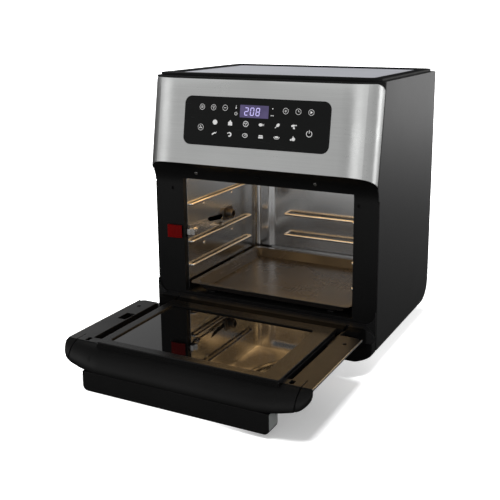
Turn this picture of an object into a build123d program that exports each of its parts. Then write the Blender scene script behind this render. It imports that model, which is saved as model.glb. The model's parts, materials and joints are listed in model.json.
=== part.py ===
from build123d import *
import os
from math import sin, cos, radians, pi, sqrt

os.makedirs("parts", exist_ok=True)

# ---------------------------------------------------------------------------
# Driving dimensions, millimetres.
# Frame: +X to the oven's right as seen from the front, +Y to the back, +Z up.
# Origin: on the floor, under the middle of the oven with its door open.
# Heights below are given above the body's underside, depths behind the plane
# of the recessed front frame.
# ---------------------------------------------------------------------------
W = 330.0            # body width
HW = W / 2
ZB = 20.0            # height of the feet
YF = -6.5            # recessed front frame plane in the part frame
REAR = 239.0         # rearmost point, the screw heads
BACK = 238.0         # outer face of the back cover
TOP = 342.7          # top edge of the side panels
SHEET = 1.2          # painted sheet of the casing
LEAN = 0.166         # the fascia comes forward by this much per mm going down
F_Y, F_Z = -10.0, 318.0   # one point of the fascia plane
BOW = 18.4           # how far the fascia's corners sweep back
COVE_R = 35.3        # concave visor under the fascia
COVE_Z = 195.2
# opening of the oven
OX0, OX1, OZ0, OZ1 = -120.0, 132.0, 36.0, 203.0
# oven cavity, inner faces
CX0, CX1, CZ0, CZ1, CY0, CY1 = -119.0, 131.0, 37.0, 202.0, 8.0, 216.0
CXM = (CX0 + CX1) / 2
CYM = 113.0
LT = 1.0             # liner sheet
# door
HY, HZ = -20.5, 22.0       # hinge axis
EAR = 34.5                 # inner face of the open door
SKIN_Z = 15.9              # outer face of the open door
SKIN_BOW = 16.4
PANEL = 1.8                 # inner door panel
LIP_Y = -226.0             # top edge of the door
EAR_REAR = -48.0           # lower edge of the door
FX0, FX1, FY0, FY1 = -116.0, 127.5, -206.0, -40.0    # raised glass frame
FT = 39.5                  # its top
WX0, WX1, WY0, WY1 = -104.0, 104.5, -194.0, -59.0    # window
GROOVE = {-1: (-135.5, -116.2), 1: (127.7, 134.8)}   # channels beside the glass frame
GROOVE_Y = -187.0
CHIN, CHIN_Y = 34.8, -47.0  # top edge and front of the chin
# hinge arms in the channels: inner and outer face, left and right
ARM = {-1: (-125.4, -122.4), 1: (129.7, 132.3)}
PIN = {-1: (-146.0, -118.5), 1: (125.5, 146.0)}
# rotisserie axis
SPY, SPZ = 120.0, 127.0
# release lever pivot
LVY, LVZ = 26.0, 122.0


def fy(z):
    """depth of the fascia plane at height z"""
    return F_Y - (F_Z - z) * LEAN


def yz(x):
    return Plane(origin=(x, YF, ZB), x_dir=(0, 1, 0), z_dir=(1, 0, 0))


def xz(y):
    return Plane(origin=(0, YF + y, ZB), x_dir=(1, 0, 0), z_dir=(0, -1, 0))


def xy(z):
    return Plane(origin=(0, YF, ZB + z), x_dir=(1, 0, 0), z_dir=(0, 0, 1))


def at(x, y, z):
    return (x, YF + y, ZB + z)


def block(x0, x1, y0, y1, z0, z1, mode=Mode.ADD):
    with Locations(at((x0 + x1) / 2, (y0 + y1) / 2, (z0 + z1) / 2)):
        Box(x1 - x0, y1 - y0, z1 - z0, mode=mode)


def rod_x(x0, x1, y, z, r, mode=Mode.ADD):
    with Locations(Plane(origin=at((x0 + x1) / 2, y, z), z_dir=(1, 0, 0))):
        Cylinder(r, x1 - x0, mode=mode)


def rod_y(x, y0, y1, z, r, mode=Mode.ADD):
    with Locations(Plane(origin=at(x, (y0 + y1) / 2, z), z_dir=(0, 1, 0))):
        Cylinder(r, y1 - y0, mode=mode)


def rod_z(x, y, z0, z1, r, mode=Mode.ADD):
    with Locations(at(x, y, (z0 + z1) / 2)):
        Cylinder(r, z1 - z0, mode=mode)


def corner_points(half, depth, flat, r1, a1):
    """two tangent arcs from a flat front to the side edge, tighter outwards"""
    bx, by = flat + r1 * sin(a1), r1 * (1 - cos(a1))
    dx, dy = half - bx, depth - by
    lo, hi = a1 + 0.01, pi / 2
    for _ in range(60):
        m = (lo + hi) / 2
        if (sin(m) - sin(a1)) * dy > (cos(a1) - cos(m)) * dx:
            lo = m
        else:
            hi = m
    a2 = (lo + hi) / 2
    r2 = dx / (sin(a2) - sin(a1))
    cx, cy = bx - r2 * sin(a1), by + r2 * cos(a1)
    am = (a1 + a2) / 2
    return [
        (flat, 0.0),
        (flat + r1 * sin(a1 / 2), r1 * (1 - cos(a1 / 2))),
        (bx, by),
        (cx + r2 * sin(am), cy - r2 * cos(am)),
        (half, depth),
    ]


BOW_PTS = corner_points(HW, BOW, 118.0, 90.0, radians(20))
SKIN_PTS = corner_points(HW, SKIN_BOW, 118.0, 80.0, radians(20))


def bow(pts, y):
    """edges of a bowed front line at depth y"""
    p = [(a, y + b) for a, b in pts]
    q = [(-a, y + b) for a, b in pts]
    Line(q[0], p[0])
    ThreePointArc(p[0], p[1], p[2])
    ThreePointArc(p[2], p[3], p[4])
    ThreePointArc(q[0], q[1], q[2])
    ThreePointArc(q[2], q[3], q[4])


def bow_band(pts, y0, y1):
    """closed outline between a bowed line at y0 and the same line at y1"""
    bow(pts, y0)
    bow(pts, y1)
    half, depth = pts[-1]
    Line((half, y0 + depth), (half, y1 + depth))
    Line((-half, y0 + depth), (-half, y1 + depth))


SLOPE = (0, LEAN, 1)
Z_LOW, Z_HIGH = 200.0, 340.4
SLOPE_LEN = (Z_HIGH - Z_LOW) * sqrt(1 + LEAN * LEAN)


def cove_cut():
    """take away the space of the concave visor"""
    rod_x(-HW - 5, HW + 5, -COVE_R, COVE_Z, COVE_R, mode=Mode.SUBTRACT)
    block(-HW - 5, HW + 5, -90, -COVE_R + 0.1, 150, COVE_Z + COVE_R, mode=Mode.SUBTRACT)


# plane of the control glass, lying on the fascia
GZ = 286.5
GLASS_PLANE = Plane(origin=at(0, fy(GZ), GZ), x_dir=(1, 0, 0), z_dir=(0, -1, LEAN))

# ------------------------------------------------------------------ cabinet


def side_panel(side):
    """one painted side sheet with a rounded lower rear corner and turned-in flanges"""
    x_out = side * HW
    with BuildSketch(yz(x_out)) as outline:
        with BuildLine():
            Polyline(
                (237, 30), (237, TOP), (fy(TOP) + 23.5, TOP), (fy(200) + 23.5, 200),
                (3.3, COVE_Z), (3.3, 0), (207, 0),
            )
            RadiusArc((207, 0), (237, 30), -30)
        make_face()
    extrude(outline.sketch, amount=-side * SHEET)
    x0, x1 = sorted((x_out - side * SHEET, x_out - side * 12))
    block(x0, x1, fy(TOP) + 23.5, 236.6, TOP - SHEET, TOP)
    block(x0, x1, 12, 200, 0, SHEET)
    rod_x(-HW - 5, HW + 5, -COVE_R, COVE_Z, COVE_R, mode=Mode.SUBTRACT)


with BuildPart() as side_panel_left:
    side_panel(-1)
side_panel_left.part.label = "side_panel_left"
export_step(side_panel_left.part, "parts/side_panel_left.step")

with BuildPart() as side_panel_right:
    side_panel(1)
side_panel_right.part.label = "side_panel_right"
export_step(side_panel_right.part, "parts/side_panel_right.step")

with BuildPart() as top_frame:
    with BuildSketch(xy(TOP)):
        with Locations((0, (9 + 236) / 2)):
            RectangleRounded(320, 227, 9)
            RectangleRounded(292, 199, 5, mode=Mode.SUBTRACT)
    extrude(amount=3.8)
    fillet(top_frame.edges().group_by(Axis.Z)[-1], 1.2)
top_frame.part.label = "top_frame"
export_step(top_frame.part, "parts/top_frame.step")

with BuildPart() as top_panel:
    with BuildSketch(xy(TOP - 1.2)):
        with Locations((0, (9 + 236) / 2)):
            Rectangle(304, 211)
    extrude(amount=1.2)
    with BuildSketch(xy(TOP)):
        with Locations((0, (9 + 236) / 2)):
            RectangleRounded(291.4, 198.4, 4.8)
    extrude(amount=1.8)
    fillet(top_panel.edges().group_by(Axis.Z)[-1], 0.6)
top_panel.part.label = "top_panel"
export_step(top_panel.part, "parts/top_panel.step")

with BuildPart() as fascia:
    with BuildSketch(xy(Z_LOW)):
        with BuildLine():
            bow_band(BOW_PTS, fy(Z_LOW), fy(Z_LOW) + 1.6)
        make_face()
    extrude(amount=SLOPE_LEN, dir=SLOPE)
    cove_cut()
    # rounded upper corners of the sheet
    with BuildSketch(xz(-60)):
        with Locations((0, 240.4)):
            RectangleRounded(W, 200, 9)
    extrude(amount=-140, mode=Mode.INTERSECT)
    with BuildSketch(GLASS_PLANE.offset(-12)):
        RectangleRounded(210.4, 64.4, 10.2)
    extrude(amount=24, mode=Mode.SUBTRACT)
fascia.part.label = "fascia"
export_step(fascia.part, "parts/fascia.step")

with BuildPart() as fascia_carrier:
    with BuildSketch(xy(Z_LOW)):
        with BuildLine():
            bow_band(BOW_PTS, fy(Z_LOW) + 1.65, fy(Z_LOW) + 4.8)
        make_face()
    extrude(amount=SLOPE_LEN, dir=SLOPE)
    cove_cut()
    # black cap over the steel and a shelf under the top rim
    with BuildSketch(xy(Z_HIGH)):
        with BuildLine():
            bow(BOW_PTS, fy(Z_HIGH) + 0.6)
            Polyline(
                (HW, fy(Z_HIGH) + 0.6 + BOW), (HW, fy(Z_HIGH) + 23.2), (HW - 1.5, fy(Z_HIGH) + 23.2),
                (HW - 1.5, 16.9), (-HW + 1.5, 16.9), (-HW + 1.5, fy(Z_HIGH) + 23.2),
                (-HW, fy(Z_HIGH) + 23.2), (-HW, fy(Z_HIGH) + 0.6 + BOW),
            )
        make_face()
    extrude(amount=TOP - Z_HIGH)
    with BuildSketch(GLASS_PLANE.offset(-14)):
        Rectangle(192, 50)
    extrude(amount=20, mode=Mode.SUBTRACT)
fascia_carrier.part.label = "fascia_carrier"
export_step(fascia_carrier.part, "parts/fascia_carrier.step")

with BuildPart() as control_glass:
    with BuildSketch(GLASS_PLANE.offset(-1.55)):
        RectangleRounded(210, 64, 10)
    extrude(amount=2.15)
    fillet(control_glass.faces().sort_by(Axis.Y)[0].edges(), 0.5)
control_glass.part.label = "control_glass"
export_step(control_glass.part, "parts/control_glass.step")

with BuildPart() as touch_board:
    with BuildSketch(GLASS_PLANE.offset(-3.3)):
        Rectangle(188, 47)
    extrude(amount=1.7)
touch_board.part.label = "touch_board"
export_step(touch_board.part, "parts/touch_board.step")

with BuildPart() as display_module:
    with BuildSketch(GLASS_PLANE.offset(-11.5)):
        with Locations((-4, 17)):
            Rectangle(46, 12)
    extrude(amount=8.2)
display_module.part.label = "display_module"
export_step(display_module.part, "parts/display_module.step")

with BuildPart() as front_frame:
    # concave visor shell behind the fascia
    with BuildSketch(yz(-HW + 1.4)):
        with BuildLine():
            CenterArc((-COVE_R, COVE_Z), COVE_R, 0, 78)
            CenterArc((-COVE_R, COVE_Z), COVE_R + 3, 0, 78)
            Line((0, COVE_Z), (3, COVE_Z))
            Line(
                (-COVE_R + COVE_R * cos(radians(78)), COVE_Z + COVE_R * sin(radians(78))),
                (-COVE_R + (COVE_R + 3) * cos(radians(78)), COVE_Z + (COVE_R + 3) * sin(radians(78))),
            )
        make_face()
    extrude(amount=W - 2.8)
    with BuildSketch(xy(180)):
        with BuildLine():
            bow(BOW_PTS, fy(180) + 4.85)
            Polyline(
                (HW, fy(180) + 4.85 + BOW), (HW, fy(180) - 60), (-HW, fy(180) - 60),
                (-HW, fy(180) + 4.85 + BOW),
            )
        make_face()
    extrude(amount=90, dir=SLOPE, mode=Mode.SUBTRACT)
    # flat recessed frame
    block(-HW, HW, 0, 3, 20, COVE_Z)
    # return flanges around the opening
    block(OX0 - 1.5, OX0, 3, 10, OZ0 - 1.5, OZ1 + 1.5)
    block(OX1, OX1 + 1.5, 3, 10, OZ0 - 1.5, OZ1 + 1.5)
    block(OX0 - 1.5, OX1 + 1.5, 0.5, 10, OZ1, OZ1 + 1.5)
    block(OX0 - 1.5, OX1 + 1.5, 3, 10, OZ0 - 1.5, OZ0)
    block(OX0, OX1, -20, 20, OZ0, OZ1, mode=Mode.SUBTRACT)
    # sill under the front edge of the tray
    block(OX0 - 0.5, OX1 + 0.5, 0, 7.8, OZ0 - 1.5, 39.3)
    # screw wells in the posts, and the passage of the lever neck
    rod_y(-136.7, -1, 2.2, 187.5, 2.4, mode=Mode.SUBTRACT)
    rod_y(139.0, -1, 2.2, 189.0, 2.2, mode=Mode.SUBTRACT)
    block(-139, -127, -1, 3.1, 119, 130, mode=Mode.SUBTRACT)
    block(-122, -119.9, 3.2, 9.2, 116.5, 131, mode=Mode.SUBTRACT)
front_frame.part.label = "front_frame"
export_step(front_frame.part, "parts/front_frame.step")

with BuildPart() as chin:
    # low bar along the whole width: a rounded crown with a lower step in front
    with BuildSketch(yz(-HW)):
        with BuildLine():
            Line((0, 0), (0, CHIN))
            ThreePointArc((0, CHIN), (-10, CHIN - 0.4), (-18.5, CHIN - 2.0))
            ThreePointArc((-18.5, CHIN - 2.0), (-24.6, 29.6), (-27, 23.5))
            Polyline((-27, 23.5), (-27, 14.5), (-40, 14.5))
            ThreePointArc((-40, 14.5), (-45.2, 12.8), (CHIN_Y, 9))
            Line((CHIN_Y, 9), (CHIN_Y, 7))
            RadiusArc((CHIN_Y, 7), (CHIN_Y + 7, 0), -7)
            Line((CHIN_Y + 7, 0), (0, 0))
        make_face()
    extrude(amount=W)
    # rounded front corners seen from above
    with BuildSketch(xy(-1)):
        with BuildLine():
            Polyline((HW, -13), (HW, 1), (-HW, 1), (-HW, -13))
            ThreePointArc((HW, -13), (158.5, -35.0), (140, -47.5))
            Line((140, -47.5), (-140, -47.5))
            ThreePointArc((-HW, -13), (-158.5, -35.0), (-140, -47.5))
        make_face()
    extrude(amount=70, mode=Mode.INTERSECT)
    # rounded ends seen from the front
    with BuildSketch(xz(1)):
        with BuildLine():
            Polyline((HW, 10), (HW, -1), (-HW, -1), (-HW, 10))
            ThreePointArc((HW, 10), (161.0, 27.0), (150, 35.6))
            Line((150, 35.6), (-150, 35.6))
            ThreePointArc((-HW, 10), (-161.0, 27.0), (-150, 35.6))
        make_face()
    extrude(amount=60, mode=Mode.INTERSECT)
    # the crown's ends slant back to the outer edges
    for m in (-1, 1):
        with BuildSketch(xy(14.5)):
            with BuildLine():
                Polyline((m * 166, -2.6), (m * HW, -2.6), (m * 133, -47), (m * 123.6, -60), (m * 166, -60),
                         (m * 166, -2.6))
            make_face()
        extrude(amount=40, mode=Mode.SUBTRACT)
    # thin horns that run up into the outer edges of the recess
    for m in (-1, 1):
        with BuildSketch(xz(0)):
            with BuildLine():
                ThreePointArc((m * HW, 53), (m * 160.8, 41.5), (m * 152, CHIN - 0.2))
                Polyline((m * 152, CHIN - 0.2), (m * 152, 8), (m * HW, 8), (m * HW, 53))
            make_face()
        extrude(amount=2.6)
    # hollow from below
    block(-118, 125, -24, -3, -1, 25, mode=Mode.SUBTRACT)
    block(-118, 125, -43.5, -23.9, -1, 11.5, mode=Mode.SUBTRACT)
    for s in (-1, 1):
        # slot that the hinge arm swings in
        x0, x1 = (-126.0, -121.9) if s < 0 else (129.2, 132.8)
        block(x0, x1, -70, -10.5, -1, 70, mode=Mode.SUBTRACT)
        # seat of the hinge pin
        rod_x(*PIN[s], HY, HZ, 3.0, mode=Mode.SUBTRACT)
        # pocket under the end
        x0, x1 = sorted((s * 139, s * 158))
        block(x0, x1, HY - 13, -4, -1, 11, mode=Mode.SUBTRACT)
chin.part.label = "chin"
export_step(chin.part, "parts/chin.step")

with BuildPart() as base_pan:
    block(-HW + 1.6, HW - 1.6, 3.3, 206, 1.3, 2.5)
    block(-HW + 1.6, HW - 1.6, 3.3, 4.5, 2.5, 26)
    with BuildSketch(xy(0)):
        with Locations((0, 110)):
            with GridLocations(24, 44, 9, 3):
                SlotOverall(26, 5, rotation=90)
    extrude(amount=4, mode=Mode.SUBTRACT)
base_pan.part.label = "base_pan"
export_step(base_pan.part, "parts/base_pan.step")

FOOT_X, FOOT_Y0, FOOT_Y1 = 118.0, 28.0, 190.0
with BuildPart() as feet:
    with BuildSketch(xy(-ZB)):
        with Locations((0, (FOOT_Y0 + FOOT_Y1) / 2)):
            with GridLocations(2 * FOOT_X, FOOT_Y1 - FOOT_Y0, 2, 2):
                Circle(10)
    extrude(amount=ZB + 1.3, taper=-6)
    fillet(feet.edges().group_by(Axis.Z)[0], 2)
feet.part.label = "feet"
export_step(feet.part, "parts/feet.step")

VENT_ROWS = ((296, 8), (268, 10), (240, 10))
with BuildPart() as back_cover:
    with BuildSketch(yz(-HW + 1.3)):
        with BuildLine():
            Polyline((BACK, 30), (BACK, TOP - 1.3), (BACK - 1.2, TOP - 1.3), (BACK - 1.2, 30))
            RadiusArc((207, 1.3), (BACK - 1.2, 30), -29.8)
            RadiusArc((207, 0.1), (BACK, 30), -31)
            Line((207, 1.3), (207, 0.1))
        make_face()
    extrude(amount=W - 2.6)
    # turned flange at the top
    block(-HW + 14, HW - 14, 224, BACK - 1.2, TOP - 2.5, TOP - 1.3)
    # air outlet louvres
    with BuildSketch(xz(BACK + 1)):
        for zc, n in VENT_ROWS:
            with Locations((0, zc)):
                with GridLocations(20, 1, n, 1):
                    SlotOverall(20, 5, rotation=90)
    extrude(amount=6, mode=Mode.SUBTRACT)
    # seat of the cord gland
    rod_y(-110, BACK - 6, BACK + 4, 60, 8.0, mode=Mode.SUBTRACT)
back_cover.part.label = "back_cover"
export_step(back_cover.part, "parts/back_cover.step")

GLAND_X, GLAND_Z, GLAND_R = -110.0, 60.0, 4.0
with BuildPart() as cord_gland:
    rod_y(GLAND_X, REAR - 10, REAR, GLAND_Z, 8.0)
    rod_y(GLAND_X, BACK - 5.2, BACK - 1.2, GLAND_Z, 10.5)
    rod_y(GLAND_X, REAR - 11, REAR + 1, GLAND_Z, GLAND_R, mode=Mode.SUBTRACT)
cord_gland.part.label = "cord_gland"
export_step(cord_gland.part, "parts/cord_gland.step")

# ------------------------------------------------------------ oven cavity

with BuildPart() as liner_floor:
    block(CX0 - LT, CX1 + LT, CY0, CY1, CZ0 - LT, CZ0)
    # pressed runners that carry the tray
    for xr in (-85, 97):
        with Locations(at(xr, 108, CZ0)):
            Box(8, 190, 2.6, align=(Align.CENTER, Align.CENTER, Align.MIN))
liner_floor.part.label = "liner_floor"
export_step(liner_floor.part, "parts/liner_floor.step")

with BuildPart() as liner_top:
    block(CX0 - LT, CX1 + LT, CY0, CY1, CZ1, CZ1 + LT)
    rod_z(CXM, CYM, CZ1 - 2, CZ1 + 3, 82, mode=Mode.SUBTRACT)
liner_top.part.label = "liner_top"
export_step(liner_top.part, "parts/liner_top.step")

with BuildPart() as liner_left:
    block(CX0 - LT, CX0, CY0, CY1, CZ0, CZ1)
    # slot above the lever and the hole of its pivot
    with BuildSketch(yz(CX0 - 4)):
        with Locations((84, 127)):
            SlotOverall(44, 7.5, rotation=-5)
    extrude(amount=8, mode=Mode.SUBTRACT)
    rod_x(CX0 - 4, CX0 + 4, LVY, LVZ, 2.0, mode=Mode.SUBTRACT)
liner_left.part.label = "liner_left"
export_step(liner_left.part, "parts/liner_left.step")

LAMP_Y, LAMP_Z = 178.0, 136.0
with BuildPart() as liner_right:
    block(CX1, CX1 + LT, CY0, CY1, CZ0, CZ1)
    rod_x(CX1 - 4, CX1 + 4, SPY, SPZ, 6.0, mode=Mode.SUBTRACT)
    rod_x(CX1 - 4, CX1 + 4, LAMP_Y, LAMP_Z, 14.0, mode=Mode.SUBTRACT)
liner_right.part.label = "liner_right"
export_step(liner_right.part, "parts/liner_right.step")

EMB = 4.0
with BuildPart() as liner_back:
    block(CX0 - LT, CX1 + LT, CY1, CY1 + LT, CZ0 - LT, CZ1 + LT)
    # large field pressed towards the back, with sloping edges
    with BuildSketch(Plane(origin=at(CXM, CY1 + LT, 141), x_dir=(1, 0, 0), z_dir=(0, 1, 0))):
        RectangleRounded(206, 114, 27)
    extrude(amount=EMB, taper=45)
    with BuildSketch(Plane(origin=at(CXM, CY1, 141), x_dir=(1, 0, 0), z_dir=(0, 1, 0))):
        RectangleRounded(204, 112, 26)
    extrude(amount=EMB, taper=48, mode=Mode.SUBTRACT)
liner_back.part.label = "liner_back"
export_step(liner_back.part, "parts/liner_back.step")

ROD_R = 2.0
RAIL_STAND = 4.5
RAIL_Z = (74.5, 109.0, 163.0)


def wall_rail(wall, x, y0, y1, z):
    """a bent rod whose two ends meet the wall"""
    with BuildLine(xy(z)) as path:
        FilletPolyline((wall, y0), (x, y0), (x, y1), (wall, y1), radius=3.2)
    with BuildSketch(Plane(origin=path.line @ 0, z_dir=path.line % 0)) as section:
        Circle(ROD_R)
    sweep(section.sketch, path=path.line)


with BuildPart() as rack_rails_left:
    for z in RAIL_Z:
        wall_rail(CX0, CX0 + RAIL_STAND, 12, 188, z)
rack_rails_left.part.label = "rack_rails_left"
export_step(rack_rails_left.part, "parts/rack_rails_left.step")

with BuildPart() as rack_rails_right:
    for z in RAIL_Z:
        wall_rail(CX1, CX1 - RAIL_STAND, 12, 188, z)
rack_rails_right.part.label = "rack_rails_right"
export_step(rack_rails_right.part, "parts/rack_rails_right.step")

with BuildPart() as rack_rails_back:
    for z, wall in ((77.5, CY1), (111.5, CY1 + EMB)):
        with BuildLine(xy(z)) as path:
            FilletPolyline((-64, wall), (-64, CY1 - 9), (76, CY1 - 9), (76, wall), radius=3.2)
        with BuildSketch(Plane(origin=path.line @ 0, z_dir=path.line % 0)):
            Circle(ROD_R)
        sweep(path=path.line)
rack_rails_back.part.label = "rack_rails_back"
export_step(rack_rails_back.part, "parts/rack_rails_back.step")

with BuildPart() as wall_rivets:
    for wall, s in ((CX0, 1), (CX1, -1)):
        for y, z in ((52, 156), (135, 156), (51, 97.5), (134, 97.5)):
            x0, x1 = sorted((wall, wall + s * 1.1))
            rod_x(x0, x1, y, z, 2.6)
    fillet(wall_rivets.edges().filter_by(GeomType.CIRCLE).filter_by(
        lambda e: abs(abs(e.center().X - CXM) - (CX1 - CXM)) > 0.5), 0.9)
wall_rivets.part.label = "wall_rivets"
export_step(wall_rivets.part, "parts/wall_rivets.step")

with BuildPart() as heater_pan:
    with BuildSketch(Plane(origin=at(CXM, CYM, 0), x_dir=(1, 0, 0), z_dir=(0, -1, 0))):
        with BuildLine():
            Polyline(
                (97, CZ1 + LT), (97, CZ1 + LT + 1.2), (89.2, CZ1 + LT + 1.2), (84, 248.2), (7, 248.2),
                (7, 247), (83, 247), (88, CZ1 + LT), (97, CZ1 + LT),
            )
        make_face()
    revolve(axis=Axis(at(CXM, CYM, 0), (0, 0, 1)))
    for dx in (-9, 9):
        rod_z(CXM + dx, CYM + 72, 240, 255, 3.5, mode=Mode.SUBTRACT)
heater_pan.part.label = "heater_pan"
export_step(heater_pan.part, "parts/heater_pan.step")

with BuildPart() as heating_element:
    # two turns of tube below the fan, with both ends led up through the pan
    for r in (72.0, 54.0):
        with BuildSketch(Plane(origin=at(CXM, CYM, 214), x_dir=(sin(radians(7.2)), cos(radians(7.2)), 0),
                               z_dir=(cos(radians(7.2)), -sin(radians(7.2)), 0))):
            with Locations((r, 0)):
                Circle(3.5)
        revolve(axis=Axis(at(CXM, CYM, 214), (0, 0, 1)), revolution_arc=345.6)
    c, s = cos(radians(7.2)), sin(radians(7.2))
    for sx, r0, r1 in ((1, 54, 72),):
        with Locations(Plane(origin=at(CXM + s * 63, CYM + c * 63, 214), z_dir=(s, c, 0))):
            Cylinder(3.5, 18)
    with Locations(Plane(origin=at(CXM - s * 63, CYM + c * 63, 214), z_dir=(-s, c, 0))):
        Cylinder(3.5, 18)
    rod_z(CXM - 9, CYM + 72, 213, 256, 3.5)
    rod_z(CXM + 9, CYM + 72, 213, 256, 3.5)
heating_element.part.label = "heating_element"
export_step(heating_element.part, "parts/heating_element.step")

with BuildPart() as fan_guard:
    with BuildSketch(xy(CZ1 - 2.0)):
        with Locations((CXM, CYM)):
            for r in (86.0, 73.0, 60.0, 47.0, 34.0, 21.0, 8.0):
                Circle(r + 1.1)
                Circle(r - 1.1, mode=Mode.SUBTRACT)
            with PolarLocations(0, 3):
                Rectangle(172, 2.2)
    extrude(amount=2.0)
fan_guard.part.label = "fan_guard"
export_step(fan_guard.part, "parts/fan_guard.step")

with BuildPart() as motor_bracket:
    block(CXM - 56, CXM + 56, CYM - 16, CYM + 16, 288, 290)
    rod_z(CXM, CYM, 280, 300, 9, mode=Mode.SUBTRACT)
    for s in (-1, 1):
        x0, x1 = sorted((CXM + s * 54, CXM + s * 56))
        block(x0, x1, CYM - 16, CYM + 16, 248.2, 288)
        x0, x1 = sorted((CXM + s * 56, CXM + s * 66))
        block(x0, x1, CYM - 16, CYM + 16, 248.2, 250.2)
motor_bracket.part.label = "motor_bracket"
export_step(motor_bracket.part, "parts/motor_bracket.step")

with BuildPart() as fan_motor:
    block(CXM - 30, CXM + 30, CYM - 26, CYM + 26, 292, 314)
    rod_z(CXM, CYM, 290, 292, 14)
    rod_z(CXM, CYM, 314, 324, 12)
    block(CXM + 30, CXM + 44, CYM - 14, CYM + 14, 294, 312)
    rod_z(CXM, CYM, 285, 330, 3.05, mode=Mode.SUBTRACT)
fan_motor.part.label = "fan_motor"
export_step(fan_motor.part, "parts/fan_motor.step")

with BuildPart() as fan_shaft:
    rod_z(CXM, CYM, 224, 330, 3.0)
fan_shaft.part.label = "fan_shaft"
export_step(fan_shaft.part, "parts/fan_shaft.step")

with BuildPart() as hot_air_fan:
    rod_z(CXM, CYM, 238, 239.2, 62)
    rod_z(CXM, CYM, 226, 238, 9)
    with Locations(at(CXM, CYM, 232)):
        with PolarLocations(36, 8):
            Box(50, 1.2, 12, rotation=(0, 0, 18))
    rod_z(CXM, CYM, 220, 245, 3.0, mode=Mode.SUBTRACT)
hot_air_fan.part.label = "hot_air_fan"
export_step(hot_air_fan.part, "parts/hot_air_fan.step")

with BuildPart() as cooling_fan:
    rod_z(CXM, CYM, 268, 269.2, 44)
    rod_z(CXM, CYM, 269.2, 278, 8)
    with Locations(at(CXM, CYM, 273)):
        with PolarLocations(26, 10):
            Box(32, 1.2, 8, rotation=(0, 0, 20))
    rod_z(CXM, CYM, 260, 285, 3.0, mode=Mode.SUBTRACT)
cooling_fan.part.label = "cooling_fan"
export_step(cooling_fan.part, "parts/cooling_fan.step")

with BuildPart() as lamp_lens:
    with BuildSketch(Plane(origin=at(CX1, LAMP_Y, LAMP_Z), x_dir=(0, 1, 0), z_dir=(0, 0, 1))):
        with BuildLine():
            Line((0, 9), (0, 7.5))
            ThreePointArc((0, 9), (12.5, 6.2), (18, 0))
            ThreePointArc((0, 7.5), (11.3, 5.0), (16.3, 0))
            Line((18, 0), (16.3, 0))
        make_face()
    revolve(axis=Axis(at(CX1, LAMP_Y, LAMP_Z), (1, 0, 0)))
lamp_lens.part.label = "lamp_lens"
export_step(lamp_lens.part, "parts/lamp_lens.step")

with BuildPart() as lamp_socket:
    rod_x(CX1 + LT, CX1 + LT + 18, LAMP_Y, LAMP_Z, 16)
    rod_x(CX1 - 3, CX1 + LT, LAMP_Y, LAMP_Z, 9)
    rod_x(CX1 - 5.5, CX1 - 3, LAMP_Y, LAMP_Z, 5)
lamp_socket.part.label = "lamp_socket"
export_step(lamp_socket.part, "parts/lamp_socket.step")

with BuildPart() as temperature_sensor:
    rod_y(119, CY1 - 26, CY1 - 3, 188, 2.5)
    rod_y(119, CY1 - 3, CY1, 188, 6)
    fillet(temperature_sensor.faces().sort_by(Axis.Y)[0].edges(), 1.5)
temperature_sensor.part.label = "temperature_sensor"
export_step(temperature_sensor.part, "parts/temperature_sensor.step")

with BuildPart() as thermal_cutout:
    rod_z(CXM, CYM - 62, 248.2, 254, 9)
    block(CXM - 8, CXM + 8, CYM - 64, CYM - 60, 254, 262)
thermal_cutout.part.label = "thermal_cutout"
export_step(thermal_cutout.part, "parts/thermal_cutout.step")

with BuildPart() as power_board:
    block(-HW + 9, -HW + 10.6, 110, 215, 225, 320)
    for y, z in ((112.5, 227.5), (212.5, 227.5), (112.5, 317.5), (212.5, 317.5)):
        rod_x(-HW + SHEET, -HW + 9, y, z, 2.5)
    block(-HW + 10.6, -HW + 34, 130, 155, 240, 270)
    block(-HW + 10.6, -HW + 28, 170, 200, 250, 262)
    block(-HW + 10.6, -HW + 26, 140, 152, 290, 308)
power_board.part.label = "power_board"
export_step(power_board.part, "parts/power_board.step")

# -------------------------------------------------------------- rotisserie

with BuildPart() as rotisserie_motor:
    rod_x(CX1 + LT, CX1 + LT + 12, SPY, SPZ, 24)
    rod_x(CX1 + LT + 12, CX1 + LT + 26, SPY, SPZ, 22)
    rod_x(CX1, CX1 + LT + 20, SPY, SPZ, 3.05, mode=Mode.SUBTRACT)
rotisserie_motor.part.label = "rotisserie_motor"
export_step(rotisserie_motor.part, "parts/rotisserie_motor.step")

with BuildPart() as drive_peg:
    rod_x(CX1 - 4, CX1 + LT + 19, SPY, SPZ, 3.0)
    rod_x(CX1 - 6, CX1 - 2, SPY, SPZ, 9)
    with Locations(at(CX1 - 12, SPY, SPZ)):
        Box(12, 7, 7)
drive_peg.part.label = "drive_peg"
export_step(drive_peg.part, "parts/drive_peg.step")

with BuildPart() as spit_bearing:
    with BuildSketch(yz(CX0)):
        with Locations((SPY, SPZ)):
            RectangleRounded(28, 19, 4)
    extrude(amount=1.5)
    rod_x(CX0 + 1.5, CX0 + 11, SPY, SPZ, 7)
    fillet(spit_bearing.faces().sort_by(Axis.X)[-1].edges(), 1.5)
    rod_x(CX0 + 6, CX0 + 12, SPY, SPZ, 4.5, mode=Mode.SUBTRACT)
spit_bearing.part.label = "spit_bearing"
export_step(spit_bearing.part, "parts/spit_bearing.step")

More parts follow.
